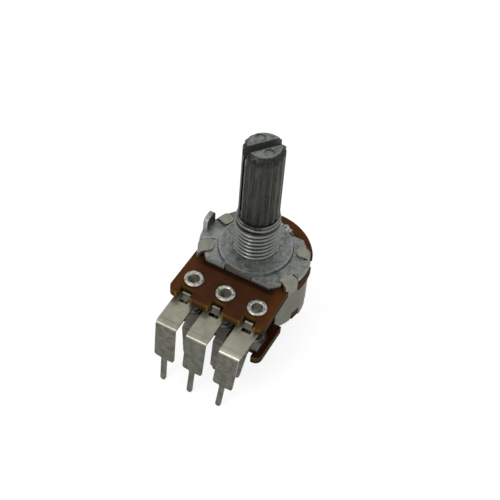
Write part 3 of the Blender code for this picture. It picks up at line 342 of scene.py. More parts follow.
class CastZinc(Finish):
    """Die-cast zinc: dull grey, blotched with pale bloom and dark stains, and bright on the thread."""

    def __init__(self):
        super().__init__("cast_zinc", 0.6)
        self.x, self.y, self.level = (self.axis(which) for which in "XYZ")
        self.radius = (self.x * self.x + self.y * self.y) ** 0.5
        mottle = self.clouds(1.25, 3.0, 0.55)
        stains = self.clouds(0.7, 5.0, 0.65, shift=(3.0, 1.0, 7.0)).between(0.55, 0.66)
        self.fine = self.clouds(0.28, 3.0, 0.6, shift=(2.0, 6.0, 3.0))
        self.coat = self.blend(mottle.between(0.38, 0.62), (0.125, 0.136, 0.127), (0.205, 0.22, 0.208))
        self.paint_skin(stains)
        self.paint_step()
        ridge = self.paint_ridge_light_and_hollow_shade()
        self.paint_gate_break()
        torn_wall = self.paint_walls()
        self.paint_lug_shade()
        bushing = self.paint_bushing()
        self.colour(self.coat)
        self.metal(0.6 + bushing * 0.4)
        dull = 0.36 + mottle * 0.14 + stains * 0.1
        self.rough(dull * (1.0 - bushing) + bushing * (0.2 + self.fine * 0.12))
        grain = self.clouds(0.11, 3.0, 0.6)
        waves = self.clouds(0.6, 3.0, 0.5, shift=(5.0, 5.0, 5.0))
        self.relief(grain * 0.3 + waves * 0.5 + ridge + torn_wall, 0.035)

    def paint(self, share, colour):
        """Lay a colour over the coat so far, as thickly as share says."""
        self.coat = self.blend(share, self.coat, colour)

    def paint_skin(self, stains):
        """Bloom, stains and flecks, painted light on the plate's left side, and painted shade behind the
        lug.
        """
        bloom = self.clouds(0.62, 3.0, 0.6, shift=(9.0, 4.0, 1.0)).between(0.5, 0.6)
        flecks = self.clouds(0.16, 2.0, 0.5, shift=(1.0, 8.0, 2.0)).between(0.62, 0.72)
        left = self.x.outside(-6.0 * MM, -3.0 * MM)
        behind = self.y.between(-0.5 * MM, 1.5 * MM)
        # Painted light: the plate's left side, outside the step, is lightened.
        lit_left = left * (1.0 - behind) * self.radius.between(4.6 * MM, 5.5 * MM)
        self.paint(bloom * 0.6, (0.29, 0.305, 0.3))
        self.paint(lit_left * 0.7, (0.38, 0.39, 0.375))
        # Painted shade: darker behind the lug on the left side.
        self.paint(left * behind * 0.6, (0.095, 0.1, 0.09))
        self.paint(stains * 0.6, (0.075, 0.084, 0.072))
        self.paint(self.fine.between(0.45, 0.75) * 0.3, (0.1, 0.11, 0.1))
        self.paint(flecks * 0.8, (0.04, 0.045, 0.036))

    def paint_step(self):
        """Painted shade as a dark line at the foot of the round step, and a painted highlight along its
        rim.
        """
        foot = stripe(self.radius, STEP_RADIUS + 0.06 * MM, 0.04 * MM)
        foot = foot * self.level.outside(-0.3 * MM, -0.05 * MM) * self.y.between(PLATE_FRONT, -3.8 * MM)
        rim = stripe(self.radius, STEP_RADIUS - 0.12 * MM, 0.06 * MM)
        rim = rim * self.level.between(-0.1 * MM, -0.02 * MM)
        # Painted shade in the corner at the step's foot.
        self.paint(foot * 0.85, (0.025, 0.03, 0.024))
        # Painted highlight on the step's rounded rim.
        self.paint(rim * 0.45, (0.33, 0.345, 0.335))

    def paint_ridge_light_and_hollow_shade(self):
        """A painted highlight on a ridge and painted shade in a hollow beside the lug. Returns the ridge,
        for the relief.
        """
        across = self.y * 0.942 - self.x * 0.335
        along = self.x.between(-7.4 * MM, -7.0 * MM) * self.x.outside(-5.6 * MM, -5.3 * MM)
        on_plate = self.level.outside(-0.4 * MM, -0.3 * MM)
        ridge = stripe(across, 0.56 * MM, 0.07 * MM) * along * on_plate
        hollow = stripe(across, 0.32 * MM, 0.07 * MM) * along * on_plate
        hollow = hollow * self.x.between(-6.4 * MM, -6.1 * MM)
        # Painted highlight on the ridge, and painted shade in the hollow.
        self.paint(ridge * 0.8, (0.42, 0.43, 0.4))
        self.paint(hollow * 0.9, (0.025, 0.028, 0.022))
        return ridge

    def paint_gate_break(self):
        """Bright and dark specks where the metal is torn."""
        torn = self.y.between(4.5 * MM, 4.7 * MM) * self.radius.between(STEP_RADIUS, STEP_RADIUS + 0.1 * MM)
        torn = torn * self.x.between(0.7 * MM, 0.9 * MM) * self.x.outside(3.3 * MM, 3.5 * MM)
        self.paint(torn * self.fine.outside(0.38, 0.46) * 0.8, (0.03, 0.035, 0.03))
        self.paint(torn * self.fine.between(0.48, 0.56) * 0.8, (0.55, 0.57, 0.56))

    def paint_walls(self):
        """The plate's edge on the terminals' side: painted light above, painted shade below, and on the pad
        a painted reflection of the brown board with painted shade at its ends.

        Returns the streaks of its sheared face, for the relief.
        """
        streaks = self.clouds(0.22, 3.0, 0.6, stretch=(1.0, 1.0, 0.15), shift=(2.0, 2.0, 2.0))
        to_right = self.x.between(1.9 * MM, 2.3 * MM)
        # Level below which painted shade lies on the wall, ragged towards the right along the streaks.
        shade_line = -1.1 * MM - to_right * (streaks - 0.6) * 0.7 * MM
        wall = self.upright() * self.level.outside(-0.5 * MM, -0.4 * MM)
        wall = wall * self.y.outside(-2.0 * MM, -1.0 * MM)
        pad = wall * abs(self.x).outside(2.15 * MM, 2.2 * MM) * self.y.outside(-5.1 * MM, -4.9 * MM)
        # Painted light on the upper wall.
        self.paint(wall * 0.75, (0.44, 0.455, 0.44))
        # Painted shade on the wall below that level.
        self.paint(wall * (shade_line - self.level).between(-0.06 * MM, 0.06 * MM) * 0.9, (0.03, 0.024, 0.018))
        # Painted reflection of the brown board on the pad.
        self.paint(pad * 0.9, (0.19, 0.165, 0.125))
        # Painted shade at the pad's ends.
        self.paint(pad * abs(self.x).between(1.9 * MM, 2.1 * MM), (0.012, 0.01, 0.008))
        return wall * streaks

    def paint_lug_shade(self):
        """Painted shade on the lug's face towards the bushing."""
        face = self.facing("X").between(0.5, 0.9) * self.x.outside(-7.1 * MM, -6.9 * MM)
        # Painted shade on the face turned away from the light.
        self.paint(face * self.level.between(-0.5 * MM, 0.0) * 0.9, (0.042, 0.052, 0.044))

    def paint_bushing(self):
        """Bright crests, painted shade in the grooves, a duller neck, painted highlights on the ring and
        the mouth, and painted shade beside the ring. Returns where the bushing is.
        """
        level = self.level
        bushing = level.between(0.05 * MM, 0.25 * MM) * self.radius.outside(3.5 * MM, 3.6 * MM)
        neck = bushing * level.between(THREAD_END + 0.1 * MM, THREAD_END + 0.3 * MM)
        ring = stripe(level, NECK_RING, 0.07 * MM) * bushing
        near_top = level.between(BUSHING_TOP - 0.3 * MM, BUSHING_TOP - 0.15 * MM)
        mouth = self.facing("Z").between(0.5, 0.9) * near_top
        above_ring = stripe(level, NECK_RING + 0.28 * MM, 0.07 * MM)
        below_ring = stripe(level, NECK_RING - 0.6 * MM, 0.16 * MM)
        groove = self.radius.outside(THREAD_ROOT + 0.05 * MM, THREAD_ROOT + 0.26 * MM)
        groove_shade = groove * bushing * level.outside(THREAD_END, THREAD_END + 0.2 * MM)
        self.paint(bushing * 0.75, (0.185, 0.19, 0.172))
        self.paint(neck * 0.6, (0.1, 0.108, 0.097))
        self.paint(neck * self.fine.between(0.55, 0.7) * 0.7, (0.33, 0.33, 0.3))
        # Painted highlight on the plain ring.
        self.paint(ring * 0.7, (0.27, 0.27, 0.24))
        # Painted light on the mouth's upward faces.
        self.paint(mouth * 0.7, (0.24, 0.26, 0.26))
        # Painted shade in the grooves beside the ring.
        self.paint(above_ring.most(below_ring) * bushing * 0.8, (0.02, 0.024, 0.019))
        # Painted shade in the thread's roots.
        self.paint(groove_shade * 0.9, (0.018, 0.02, 0.015))
        return bushing


def shaft_zinc():
    """The shaft's casting: streaks that the die left, painted shade on the flanks, painted light on the
    tip's upward faces, and painted light on the walls of its split.
    """
    finish = Finish("shaft_zinc", 1.0)
    streaks = finish.clouds(0.3, 4.0, 0.65, stretch=(1.0, 1.0, 0.1))
    mottle = finish.clouds(0.9, 4.0, 0.6, shift=(2.0, 0.0, 4.0))
    pits = finish.clouds(0.35, 4.0, 0.65, shift=(7.0, 3.0, 1.0))
    flank = finish.blend(streaks.between(0.32, 0.68), (0.036, 0.038, 0.032), (0.075, 0.077, 0.066))
    flank = finish.blend(mottle.between(0.5, 0.7) * 0.5, flank, (0.035, 0.036, 0.031))
    chamfer = (finish.axis("Z") + (streaks - 0.5) * 1.6 * MM).between(18.3 * MM, 18.9 * MM)
    flank = finish.blend(chamfer * (0.35 + pits.between(0.35, 0.6) * 0.5), flank, (0.017, 0.021, 0.021))
    top = finish.blend(mottle.between(0.38, 0.62), (0.105, 0.118, 0.108), (0.2, 0.21, 0.195))
    top = finish.blend(pits.between(0.58, 0.7) * 0.6, top, (0.075, 0.07, 0.055))
    top = finish.blend(pits.outside(0.3, 0.42), top, (0.26, 0.275, 0.25))
    # Painted light and shade: upward faces lighter, flanks darker.
    base = finish.blend(finish.facing("Z").between(0.72, 0.95), flank, top)
    inside = split_wall(finish)
    # Painted light on the split's walls.
    finish.colour(finish.blend(inside * 0.6, base, (0.125, 0.132, 0.115)))
    finish.metal(1.0 - inside * 0.6)
    finish.rough(0.33 + streaks * 0.16)
    grain = finish.clouds(0.14, 3.0, 0.6)
    finish.relief(grain * 0.45 + streaks * 0.55, 0.035)
    return finish.material


def split_wall(finish):
    """1 on the walls of the split in the shaft, near its tip, and 0 elsewhere."""
    across = abs(finish.axis("X") * math.sin(SPLIT_HEADING) - finish.axis("Y") * math.cos(SPLIT_HEADING))
    near_tip = finish.axis("Z").between(17.4 * MM, 18.6 * MM)
    return across.outside(0.62 * MM, 0.7 * MM) * finish.upright() * near_tip


def phenolic():
    """Paper phenolic: red-brown faces, and punched edges that show yellow-brown paper layers."""
    finish = Finish("paper_phenolic", 0.0, IOR=1.5, Specular_IOR_Level=0.06)
    rear = finish.rear_gang()
    fibres = finish.clouds(0.45, 4.0, 0.7, stretch=(1.0, 0.3, 1.0))
    layers = finish.clouds(0.8, 3.0, 0.7, stretch=(1.0, 1.0, 7.0), shift=(1.0, 2.0, 3.0))
    upright = finish.upright(0.3, 0.8)
    finish.colour(finish.blend(upright, board_face(finish, rear), board_edge(finish, rear, layers)))
    finish.rough(0.42 + fibres * 0.2 + upright * 0.2)
    finish.relief(fibres * 0.4 + layers * upright * 0.6, 0.05)
    return finish.material


def board_face(finish, rear):
    """Red-brown face, warmer towards its borders, with a painted shadow along the plate, and dark on the
    rear board.
    """
    aside = abs(finish.axis("X"))
    y = finish.axis("Y")
    patch = finish.clouds(1.8, 4.0, 0.6)
    face = finish.blend(patch.between(0.3, 0.7), (0.041, 0.014, 0.0048), (0.06, 0.0195, 0.0065))
    border = aside.between(4.6 * MM, 7.6 * MM).most(y.between(-5.0 * MM, -2.0 * MM))
    face = finish.blend(border * patch.between(0.2, 0.6) * 0.6, face, (0.105, 0.034, 0.0055))
    # Painted shadow of the plate's front edge on the board.
    plate_shadow = stripe(y, PLATE_FRONT, 0.35 * MM) * aside.outside(5.2 * MM, 6.2 * MM)
    face = finish.blend(plate_shadow * 0.75, face, (0.01, 0.004, 0.002))
    return finish.blend(rear * 0.75, face, (0.01, 0.0035, 0.001))


def board_edge(finish, rear, layers):
    """Punched edge: layered, with painted shade on the edges that face sideways and low down along a ragged
    line, and yellowest in the terminals' notches.
    """
    x, y, level = (finish.axis(which) for which in "XYZ")
    ragged = finish.clouds(0.35, 3.0, 0.7, shift=(6.0, 2.0, 1.0))
    edge = finish.blend(layers.between(0.35, 0.65), (0.06, 0.033, 0.007), (0.12, 0.07, 0.012))
    edge = finish.blend(ragged.between(0.5, 0.7) * 0.6, edge, (0.045, 0.017, 0.004))
    # Painted shade on the edges that face sideways.
    side = abs(finish.facing("X")).between(0.5, 0.8)
    edge = finish.blend(side * 0.55, edge, (0.03, 0.015, 0.004))
    notch = x.off_pitch(TERMINAL_PITCH).outside(1.25 * MM, 1.45 * MM) * (1.0 - rear)
    notch = notch * abs(x).outside(6.3 * MM, 6.5 * MM) * abs(y - BOARD_FRONT).outside(0.85 * MM, 1.1 * MM)
    depth = BOARD_TOP - level - rear * GANG_SPACING + (ragged - 0.5) * 0.5 * MM
    # Painted shade on the lower part of the edge, along a ragged line.
    low = depth.between(0.55 * MM, 0.8 * MM) * (1.0 - notch)
    edge = finish.blend(low * 0.75, edge, (0.022, 0.01, 0.004))
    return finish.blend(notch * (0.3 + layers.between(0.35, 0.6) * 0.45), edge, (0.19, 0.112, 0.012))


def tinned_brass():
    """Tin-dipped brass strip: cream grey on the flats, painted light on the right strip, and painted shade
    making the legs below the fold darker.
    """
    finish = Finish("tinned_brass", 0.8)
    rear = finish.rear_gang()
    facing_up = finish.facing("Z").between(0.25, 0.8)
    mottle = finish.clouds(1.0, 4.0, 0.6)
    flat = finish.blend(mottle.between(0.3, 0.7), (0.26, 0.25, 0.192), (0.335, 0.325, 0.255))
    # Painted light on the right-hand strip.
    right = finish.axis("X").between(3.0 * MM, 4.0 * MM)
    flat = finish.blend(right * 0.6, flat, (0.5, 0.49, 0.4))
    flat = finish.blend(rear * 0.8, flat, (0.26, 0.26, 0.24))
    # Painted shadow of the front board on the rear strips.
    flat = finish.blend(finish.board_shadow(rear) * 0.9, flat, (0.03, 0.013, 0.007))
    leg = finish.blend(mottle.between(0.35, 0.65), (0.088, 0.086, 0.068), (0.145, 0.143, 0.115))
    drips = finish.clouds(0.5, 4.0, 0.6, stretch=(1.0, 1.0, 0.3), shift=(1.0, 6.0, 2.0)).between(0.58, 0.72)
    leg = finish.blend(drips * 0.5, leg, (0.055, 0.05, 0.038))
    # Painted light and shade: flats that face up lighter, legs darker.
    base = finish.blend(facing_up, leg, flat)
    dull = finish.clouds(0.7, 5.0, 0.65, shift=(8.0, 1.0, 2.0)).between(0.57, 0.75)
    base = finish.blend(dull * 0.35, base, (0.09, 0.088, 0.068))
    length = finish.axis("Y")
    crease = abs(length - FOLD_CREASE).outside(0.02 * MM, 0.07 * MM)
    fainter = abs(length - SECOND_CREASE).outside(0.01 * MM, 0.05 * MM)
    creases = (crease * 0.55 + fainter * 0.3) * facing_up
    finish.colour(finish.blend(creases, base, (0.09, 0.085, 0.065)))
    finish.metal(0.8 - rear * facing_up * 0.55)
    finish.rough(0.26 + mottle * 0.12 + dull * 0.15 + rear * 0.15)
    scratches = finish.clouds(0.13, 3.0, 0.6, stretch=(1.0, 0.12, 0.12), shift=(4.0, 4.0, 0.0))
    finish.relief(scratches * 0.45 + mottle * 0.4 - creases * 0.6, 0.02)
    return finish.material


def eyelet_tin():
    """Rolled brass eyelet under bright, uneven tin, dull and brown inside the tube."""
    finish = Finish("eyelet_tin", 1.0)
    rear = finish.rear_gang()
    facing_up = finish.facing("Z").between(-0.15, 0.4)
    mottle = finish.clouds(0.42, 4.0, 0.65)
    bright = finish.blend(mottle.between(0.32, 0.68), (0.17, 0.17, 0.145), (0.55, 0.55, 0.51))
    bright = finish.blend(rear * 0.8, bright, (0.26, 0.27, 0.25))
    # Painted shadow of the front board on the rear eyelets.
    bright = finish.blend(finish.board_shadow(rear) * 0.9, bright, (0.03, 0.013, 0.007))
    finish.colour(finish.blend(facing_up, (0.3, 0.27, 0.2), bright))
    finish.metal((0.25 + facing_up * 0.7) * (1.0 - rear * 0.6))
    finish.rough(0.2 + mottle * 0.2 + rear * 0.2)
    finish.relief(mottle, 0.06)
    return finish.material


def tin_plate():
    """Tinned steel sheet of the shell: light grey, with drawn marks, and painted light on the ears, which
    lie on top.
    """
    finish = Finish("tin_plate", 0.85, Specular_Tint=(0.55, 0.55, 0.52, 1.0))
    mottle = finish.clouds(1.2, 4.0, 0.6)
    drawn = finish.clouds(0.2, 3.0, 0.6, stretch=(1.0, 1.0, 0.15))
    wall = finish.blend(mottle.between(0.3, 0.7), (0.16, 0.16, 0.14), (0.19, 0.19, 0.167))
    # Painted light: the ears lighter than the wall.
    ear = finish.blend(mottle.between(0.3, 0.7), (0.21, 0.205, 0.165), (0.27, 0.262, 0.215))
    on_ear = finish.axis("Z").between(EAR_ROOT - 0.3 * MM, EAR_ROOT + 0.2 * MM)
    finish.colour(finish.blend(on_ear, wall, ear))
    finish.rough(0.25 + drawn * 0.16)
    finish.relief(drawn * 0.5 + mottle * 0.5, 0.02)
    return finish.material


def moulded_nylon():
    """Black moulding of the rotors, faintly grained."""
    finish = Finish("black_nylon", 0.0, IOR=1.5, Specular_IOR_Level=0.3)
    grain = finish.clouds(0.3, 3.0, 0.6)
    finish.colour(finish.blend(grain, (0.012, 0.012, 0.013), (0.022, 0.022, 0.023)))
    finish.rough(0.42 + grain * 0.2)
    finish.relief(grain, 0.02)
    return finish.material


def sprung_bronze():
    """Phosphor bronze of the wipers, with rolling streaks."""
    finish = Finish("phosphor_bronze", 1.0)
    streaks = finish.clouds(0.3, 3.0, 0.6, stretch=(1.0, 0.15, 1.0))
    finish.colour(finish.blend(streaks, (0.38, 0.2, 0.09), (0.52, 0.32, 0.15)))
    finish.rough(0.25 + streaks * 0.15)
    finish.relief(streaks, 0.01)
    return finish.material


def smooth_step(low, high, value):
    """0 below low, 1 above high, and smooth in between, for plain numbers."""
    share = min(max((value - low) / (high - low), 0.0), 1.0)
    return share * share * (3.0 - 2.0 * share)


def radius_of(vert):
    """Distance of a point from the shaft's axis."""
    return math.hypot(vert.co.x, vert.co.y)


def stretch_out(vert, factor):
    """Move a point away from the shaft's axis, or towards it."""
    vert.co.x *= factor
    vert.co.y *= factor


def new_piece(name, work, finish, slot, body, *nodes):
    """Turn a bmesh into a piece of the object that stands for CAD nodes."""
    mesh = bpy.data.meshes.new(name)
    bmesh.ops.recalc_face_normals(work, faces=work.faces)
    work.to_mesh(mesh)
    work.free()
    piece = bpy.data.objects.new(name, mesh)
    bpy.context.scene.collection.objects.link(piece)
    mesh.materials.append(finish)
    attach(piece, body)
    if nodes:
        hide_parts(*nodes)
    return piece


def copy_of_node(node):
    """A node's mesh as whole faces: doubles merged and flat regions dissolved."""
    work = bmesh.new()
    work.from_mesh(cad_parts[node].data)
    bmesh.ops.remove_doubles(work, verts=work.verts, dist=WELD)
    bmesh.ops.dissolve_limit(
        work, angle_limit=FLAT, verts=work.verts, edges=work.edges, use_dissolve_boundaries=False
    )
    return work


def soften(work, width, spared=None):
    """Round the sharp edges, apart from those that are spared."""
    sharp = [
        edge for edge in work.edges
        if len(edge.link_faces) == 2
        and edge.calc_face_angle(0.0) > SHARP
        and not (spared and spared(edge))
    ]
    bmesh.ops.bevel(
        work, geom=sharp, offset=width, offset_type="OFFSET", affect="EDGES", segments=2,
        profile=0.5, clamp_overlap=True, material=-1,
    )


def smooth_by_angle(work, limit=SMOOTH):
    """Shade the faces smooth, with hard lines along the sharper edges."""
    for face in work.faces:
        face.smooth = True
    for edge in work.edges:
        edge.smooth = len(edge.link_faces) == 2 and edge.calc_face_angle(math.pi) < limit


def finished(work, name, finish, slot, body, node):
    """Shade a shape, and make it the piece that stands for a node."""
    smooth_by_angle(work)
    piece = new_piece(name, work, finish, slot, body, node)
    weighted = piece.modifiers.new("even_shading", "WEIGHTED_NORMAL")
    weighted.mode = "FACE_AREA"
    weighted.weight = 80
    weighted.keep_sharp = True


def dressed(node, name, finish, slot, body, rounding=0.0):
    """A CAD node's shape with softer edges and its finish."""
    work = copy_of_node(node)
    if rounding > 0.0:
        soften(work, rounding)
    finished(work, name, finish, slot, body, node)


def bushing_radius(angle, level):
    """Outside of the bushing: the helix, its run-outs, and the plain ring above it."""
    turns = (level - THREAD_PHASE) / THREAD_PITCH - (angle - THREAD_FACING) / math.tau
    off_crest = abs(turns - round(turns)) * 2.0
    height = 1.0 - smooth_step(*THREAD_FLANK, off_crest)
    height *= smooth_step(0.0, THREAD_FADE, level)
    height *= 1.0 - smooth_step(THREAD_END - THREAD_FADE, THREAD_END + THREAD_FADE, level)
    above = smooth_step(THREAD_END, THREAD_END + THREAD_FADE, level)
    root = THREAD_ROOT + (NECK_RADIUS - THREAD_ROOT) * above
    ring = 1.0 - smooth_step(0.4, 1.0, abs(level - NECK_RING) / NECK_RING_HALF)
    return root + (THREAD_CREST - THREAD_ROOT) * height + NECK_RING_RISE * ring


def on_ridges(vert):
    """Whether a point is on the outside of the bushing."""
    return NECK_RADIUS - 0.02 * MM < radius_of(vert) < THREAD_CREST + 0.03 * MM and vert.co.z > -HAIR


def cut_thread(work):
    """Replace the bushing's ridges by one wall of fine rings, drawn out to the helix."""
    ridges = [face for face in work.faces if all(on_ridges(vert) for vert in face.verts)]
    bmesh.ops.delete(work, geom=ridges, context="FACES")
    rims = [edge for edge in work.edges if len(edge.link_faces) == 1]
    wall = bmesh.ops.bridge_loops(work, edges=rims)["faces"]
    kept = set(rims)
    upright = dict.fromkeys(edge for face in wall for edge in face.edges if edge not in kept)
    bmesh.ops.subdivide_edges(work, edges=list(upright), cuts=THREAD_LEVELS, use_grid_fill=True)
    for vert in work.verts:
        if on_ridges(vert) and SPECK < vert.co.z < BUSHING_TOP - SPECK:
            angle = math.atan2(vert.co.y, vert.co.x)
            radius = bushing_radius(angle, vert.co.z)
            vert.co.x = radius * math.cos(angle)
            vert.co.y = radius * math.sin(angle)


def on_bushing(edge):
    """Whether an edge is part of the bushing."""
    return all(radius_of(vert) < THREAD_CREST + 0.05 * MM and vert.co.z > SPECK for vert in edge.verts)


def make_casting():
    """Plate, step, lug and bushing in one casting, with its thread cut and its bore's mouth drawn in."""
    work = copy_of_node("front_plate")
    cut_thread(work)
    for vert in work.verts:
        if vert.co.x > SPUR_EDGE.x and vert.co.y < SPUR_EDGE.y:
            length = vert.co.y - SPUR_EDGE.y
            vert.co.x = SPUR_SEAT.x + length * SPUR_REST.x
            vert.co.y = SPUR_SEAT.y + length * SPUR_REST.y
        if vert.co.z > BUSHING_TOP - HAIR and radius_of(vert) < BORE_MOUTH:
            stretch_out(vert, BORE_LIP / radius_of(vert))
    soften(work, CASTING_ROUNDING, on_bushing)
    finished(work, "casting", ZINC, "zinc_casting", "housing", "front_plate")


def make_gate_break():
    """Torn metal along the edge where the casting was broken off its gate."""
    work = bmesh.new()
    for flake, (x, y, z, size) in enumerate(GATE_FLAKES):
        made = bmesh.ops.create_icosphere(work, subdivisions=4, radius=1.0)["verts"]
        seed = Vector((flake * 5.1, flake * 2.3, 0.7))
        for vert in made:
            place = vert.co.copy()
            torn = noise.noise(place * 2.2 + seed) * 0.75 + noise.noise(place * 5.5 + seed) * 0.35
            vert.co = place * max(1.0 + torn, 0.25)
        bmesh.ops.scale(work, vec=FLAKE_SHAPE * size * MM, verts=made)
        bmesh.ops.translate(work, vec=Vector((x, y, z)) * MM, verts=made)
    smooth_by_angle(work, SHARP)
    new_piece("gate_break", work, ZINC, "zinc_casting", "housing")


def is_strap_side(edge):
    """Whether an edge runs all the way up an ear's strap."""
    foot, top = sorted(vert.co.z for vert in edge.verts)
    return foot < EAR_ROOT + HAIR and top > EAR_BEND - HAIR


def lean_strap(vert):
    """Move a point of a front ear out to the board's rim, and widen the right one."""
    spread = EAR_SPREAD * smooth_step(EAR_ROOT, EAR_ROOT + EAR_SPREADING, vert.co.z)
    stretch_out(vert, 1.0 + spread / radius_of(vert))
    if FRONT_RIGHT_EAR[0] < math.atan2(vert.co.y, vert.co.x) < FRONT_RIGHT_EAR[1]:
        vert.co.y -= EAR_WIDENING * spread / EAR_SPREAD


def is_key_window(vert):
    """Whether a point is on the upper edge of the shell's windows for the rear board's keys."""
    turn = math.degrees(math.atan2(vert.co.y, abs(vert.co.x)))
    in_window = abs(turn - KEY_WINDOW_HEADING) < KEY_WINDOW_HALF and radius_of(vert) > EAR_STRAP
    return in_window and abs(vert.co.z - KEY_WINDOW_EDGE) < KEY_WINDOW_NEAR


def make_shell():
    """The shell with its ears pressed flat onto the casting and out to the board's rim."""
    work = copy_of_node("housing_shell")
    straps = [edge for edge in work.edges if is_strap_side(edge)]
    bmesh.ops.subdivide_edges(work, edges=straps, cuts=EAR_CUTS, use_grid_fill=True)
    for vert in work.verts:
        if vert.co.z > EAR_ROOT + HAIR and vert.co.y < 0.0 and radius_of(vert) > EAR_STRAP:
            lean_strap(vert)
        if is_key_window(vert):
            vert.co.z = KEY_WINDOW_LOWERED
        vert.co.z -= EAR_DROP * smooth_step(EAR_ROOT, EAR_BEND, vert.co.z)
    soften(work, STRIP_ROUNDING)
    finished(work, "shell", TINPLATE, "tinned_steel", "housing", "housing_shell")


def close_slots(vert):
    """Move a point on the walls of the front board's slots in to the straps."""
    for heading in SLOT_HEADINGS:
        out = Vector((math.cos(heading), math.sin(heading)))
        reach = vert.co.xy.dot(out)
        if abs(vert.co.xy.cross(out)) < SLOT_HALF:
            for found, wanted in SLOT_WALLS:
                if abs(reach - found) < SLOT_WALL_NEAR:
                    vert.co.xy += out * (wanted - reach)
    turn = math.atan2(vert.co.y, vert.co.x)
    at_end = LEFT_SLOT_END[0] < turn < LEFT_SLOT_END[1]
    if at_end and LEFT_SLOT_REACH[0] < vert.co.length < LEFT_SLOT_REACH[1]:
        vert.co.xy = Matrix.Rotation(LEFT_SLOT_TURN, 2) @ vert.co.xy


def make_front_board():
    """The front board, whose slots for the front ears are as close as the real ones."""
    work = copy_of_node("front_wafer")
    for vert in work.verts:
        close_slots(vert)
    soften(work, BOARD_ROUNDING)
    finished(work, "front_board", BOARD, "phenolic_board", "housing", "front_wafer")


def make_rear_board():
    """The rear board with its keys cut back to the shell."""
    work = copy_of_node("rear_wafer")
    for vert in work.verts:
        if KEY_CORNER < radius_of(vert) < TONGUE_SIDE and abs(vert.co.x) > abs(vert.co.y):
            stretch_out(vert, KEY_REACH / radius_of(vert))
    soften(work, REAR_BOARD_ROUNDING)
    finished(work, "rear_board", BOARD, "phenolic_board", "housing", "rear_wafer")


def make_front_leg(side):
    """A front terminal, with its tab and window as wide as the real ones."""
    node = f"front_terminal_{side}"
    work = copy_of_node(node)
    middle = (SIDES.index(side) - 1) * TERMINAL_PITCH + TAB_MIDDLE
    for vert in work.verts:
        if TAB_FRONT < vert.co.y < TAB_BACK and abs(vert.co.x - middle) < TAB_HALF:
            vert.co.x = middle + (vert.co.x - middle) * TAB_WIDENING
            if vert.co.y < TAB_WINDOW_FRONT:
                vert.co.y -= TAB_WINDOW_LENGTHENING
    soften(work, STRIP_ROUNDING)
    finished(work, f"front_leg_{side}", TERMINAL, "tinned_terminal", "housing", node)


def make_shaft():
    """The split shaft, whose knurl runs down to the bushing's mouth."""
    work = copy_of_node("shaft")
    for vert in work.verts:
        if KNURL_FOOT - HAIR < vert.co.z < KNURL_FOOT + KNURL_STEP:
            vert.co.z -= KNURL_LENGTHENING
    soften(work, STRIP_ROUNDING)
    finished(work, "split_shaft", SHAFT, "shaft_zinc", "shaft", "shaft")


def eyelet_section(foot, rim):
    """Outline of an eyelet from its bore round its foot and flared rim: radius and level."""
    return (
        (0.7 * MM, foot + 0.05 * MM),
        (0.76 * MM, foot),
        (1.22 * MM, foot),
        (1.28 * MM, foot + 0.12 * MM),
        (1.22 * MM, foot + 0.22 * MM),
        (0.98 * MM, foot + 0.24 * MM),
        (0.98 * MM, rim - 0.27 * MM),
        (1.3 * MM, rim - 0.26 * MM),
        (1.4 * MM, rim - 0.2 * MM),
        (1.42 * MM, rim - 0.1 * MM),
        (1.33 * MM, rim + 0.01 * MM),
        (1.18 * MM, rim + 0.08 * MM),
        (1.02 * MM, rim + 0.08 * MM),
        (0.88 * MM, rim),
        (0.79 * MM, rim - 0.14 * MM),
        (0.73 * MM, rim - 0.4 * MM),
        (0.7 * MM, rim - 0.8 * MM),
    )


def flare_unevenly(vert, rim, seed):
    """Move a point of an eyelet's rim as an uneven setting tool would."""
    angle = math.atan2(vert.co.y, vert.co.x)
    around = Vector((math.cos(angle), math.sin(angle), 0.0))
    on_rim = smooth_step(0.95 * MM, 1.35 * MM, radius_of(vert))
    flare = on_rim * smooth_step(rim - 0.5 * MM, rim - 0.2 * MM, vert.co.z)
    uneven = noise.noise(around * 3.4 + seed) * 0.06 + noise.noise(around * 8.0 + seed) * 0.035
    vert.co += around * (uneven * flare * MM)
    lift = noise.noise(around * 2.6 + seed * 2.0) * 0.05 * MM
    vert.co.z += lift * smooth_step(rim - 0.3 * MM, rim, vert.co.z)


def make_eyelet(gang, side):
    """Eyelet with a hand-set look: a rolled rim, unevenly flared, round an open tube."""
    node = f"{gang}_eyelet_{side}"
    low, high = (Vector(corner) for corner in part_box(node))
    rim = high.z - EYELET_RIM
    work = bmesh.new()
    verts = [work.verts.new((radius, 0.0, level)) for radius, level in eyelet_section(low.z, rim)]
    edges = [work.edges.new((verts[i - 1], verts[i])) for i in range(len(verts))]
    bmesh.ops.spin(
        work, geom=verts + edges, cent=(0.0, 0.0, 0.0), axis=(0.0, 0.0, 1.0), angle=math.tau,
        steps=EYELET_STEPS, use_merge=True,
    )
    bmesh.ops.remove_doubles(work, verts=work.verts, dist=WELD)
    seed = Vector((SIDES.index(side) * 7.3, 2.1 if gang == "front" else 9.4, 0.0))
    for vert in work.verts:
        flare_unevenly(vert, rim, seed)
    bmesh.ops.translate(work, vec=((low.x + high.x) / 2, EYELET_ROW, 0.0), verts=work.verts)
    finished(work, f"{gang}_rivet_{side}", EYELET, "eyelet_tin", "housing", node)


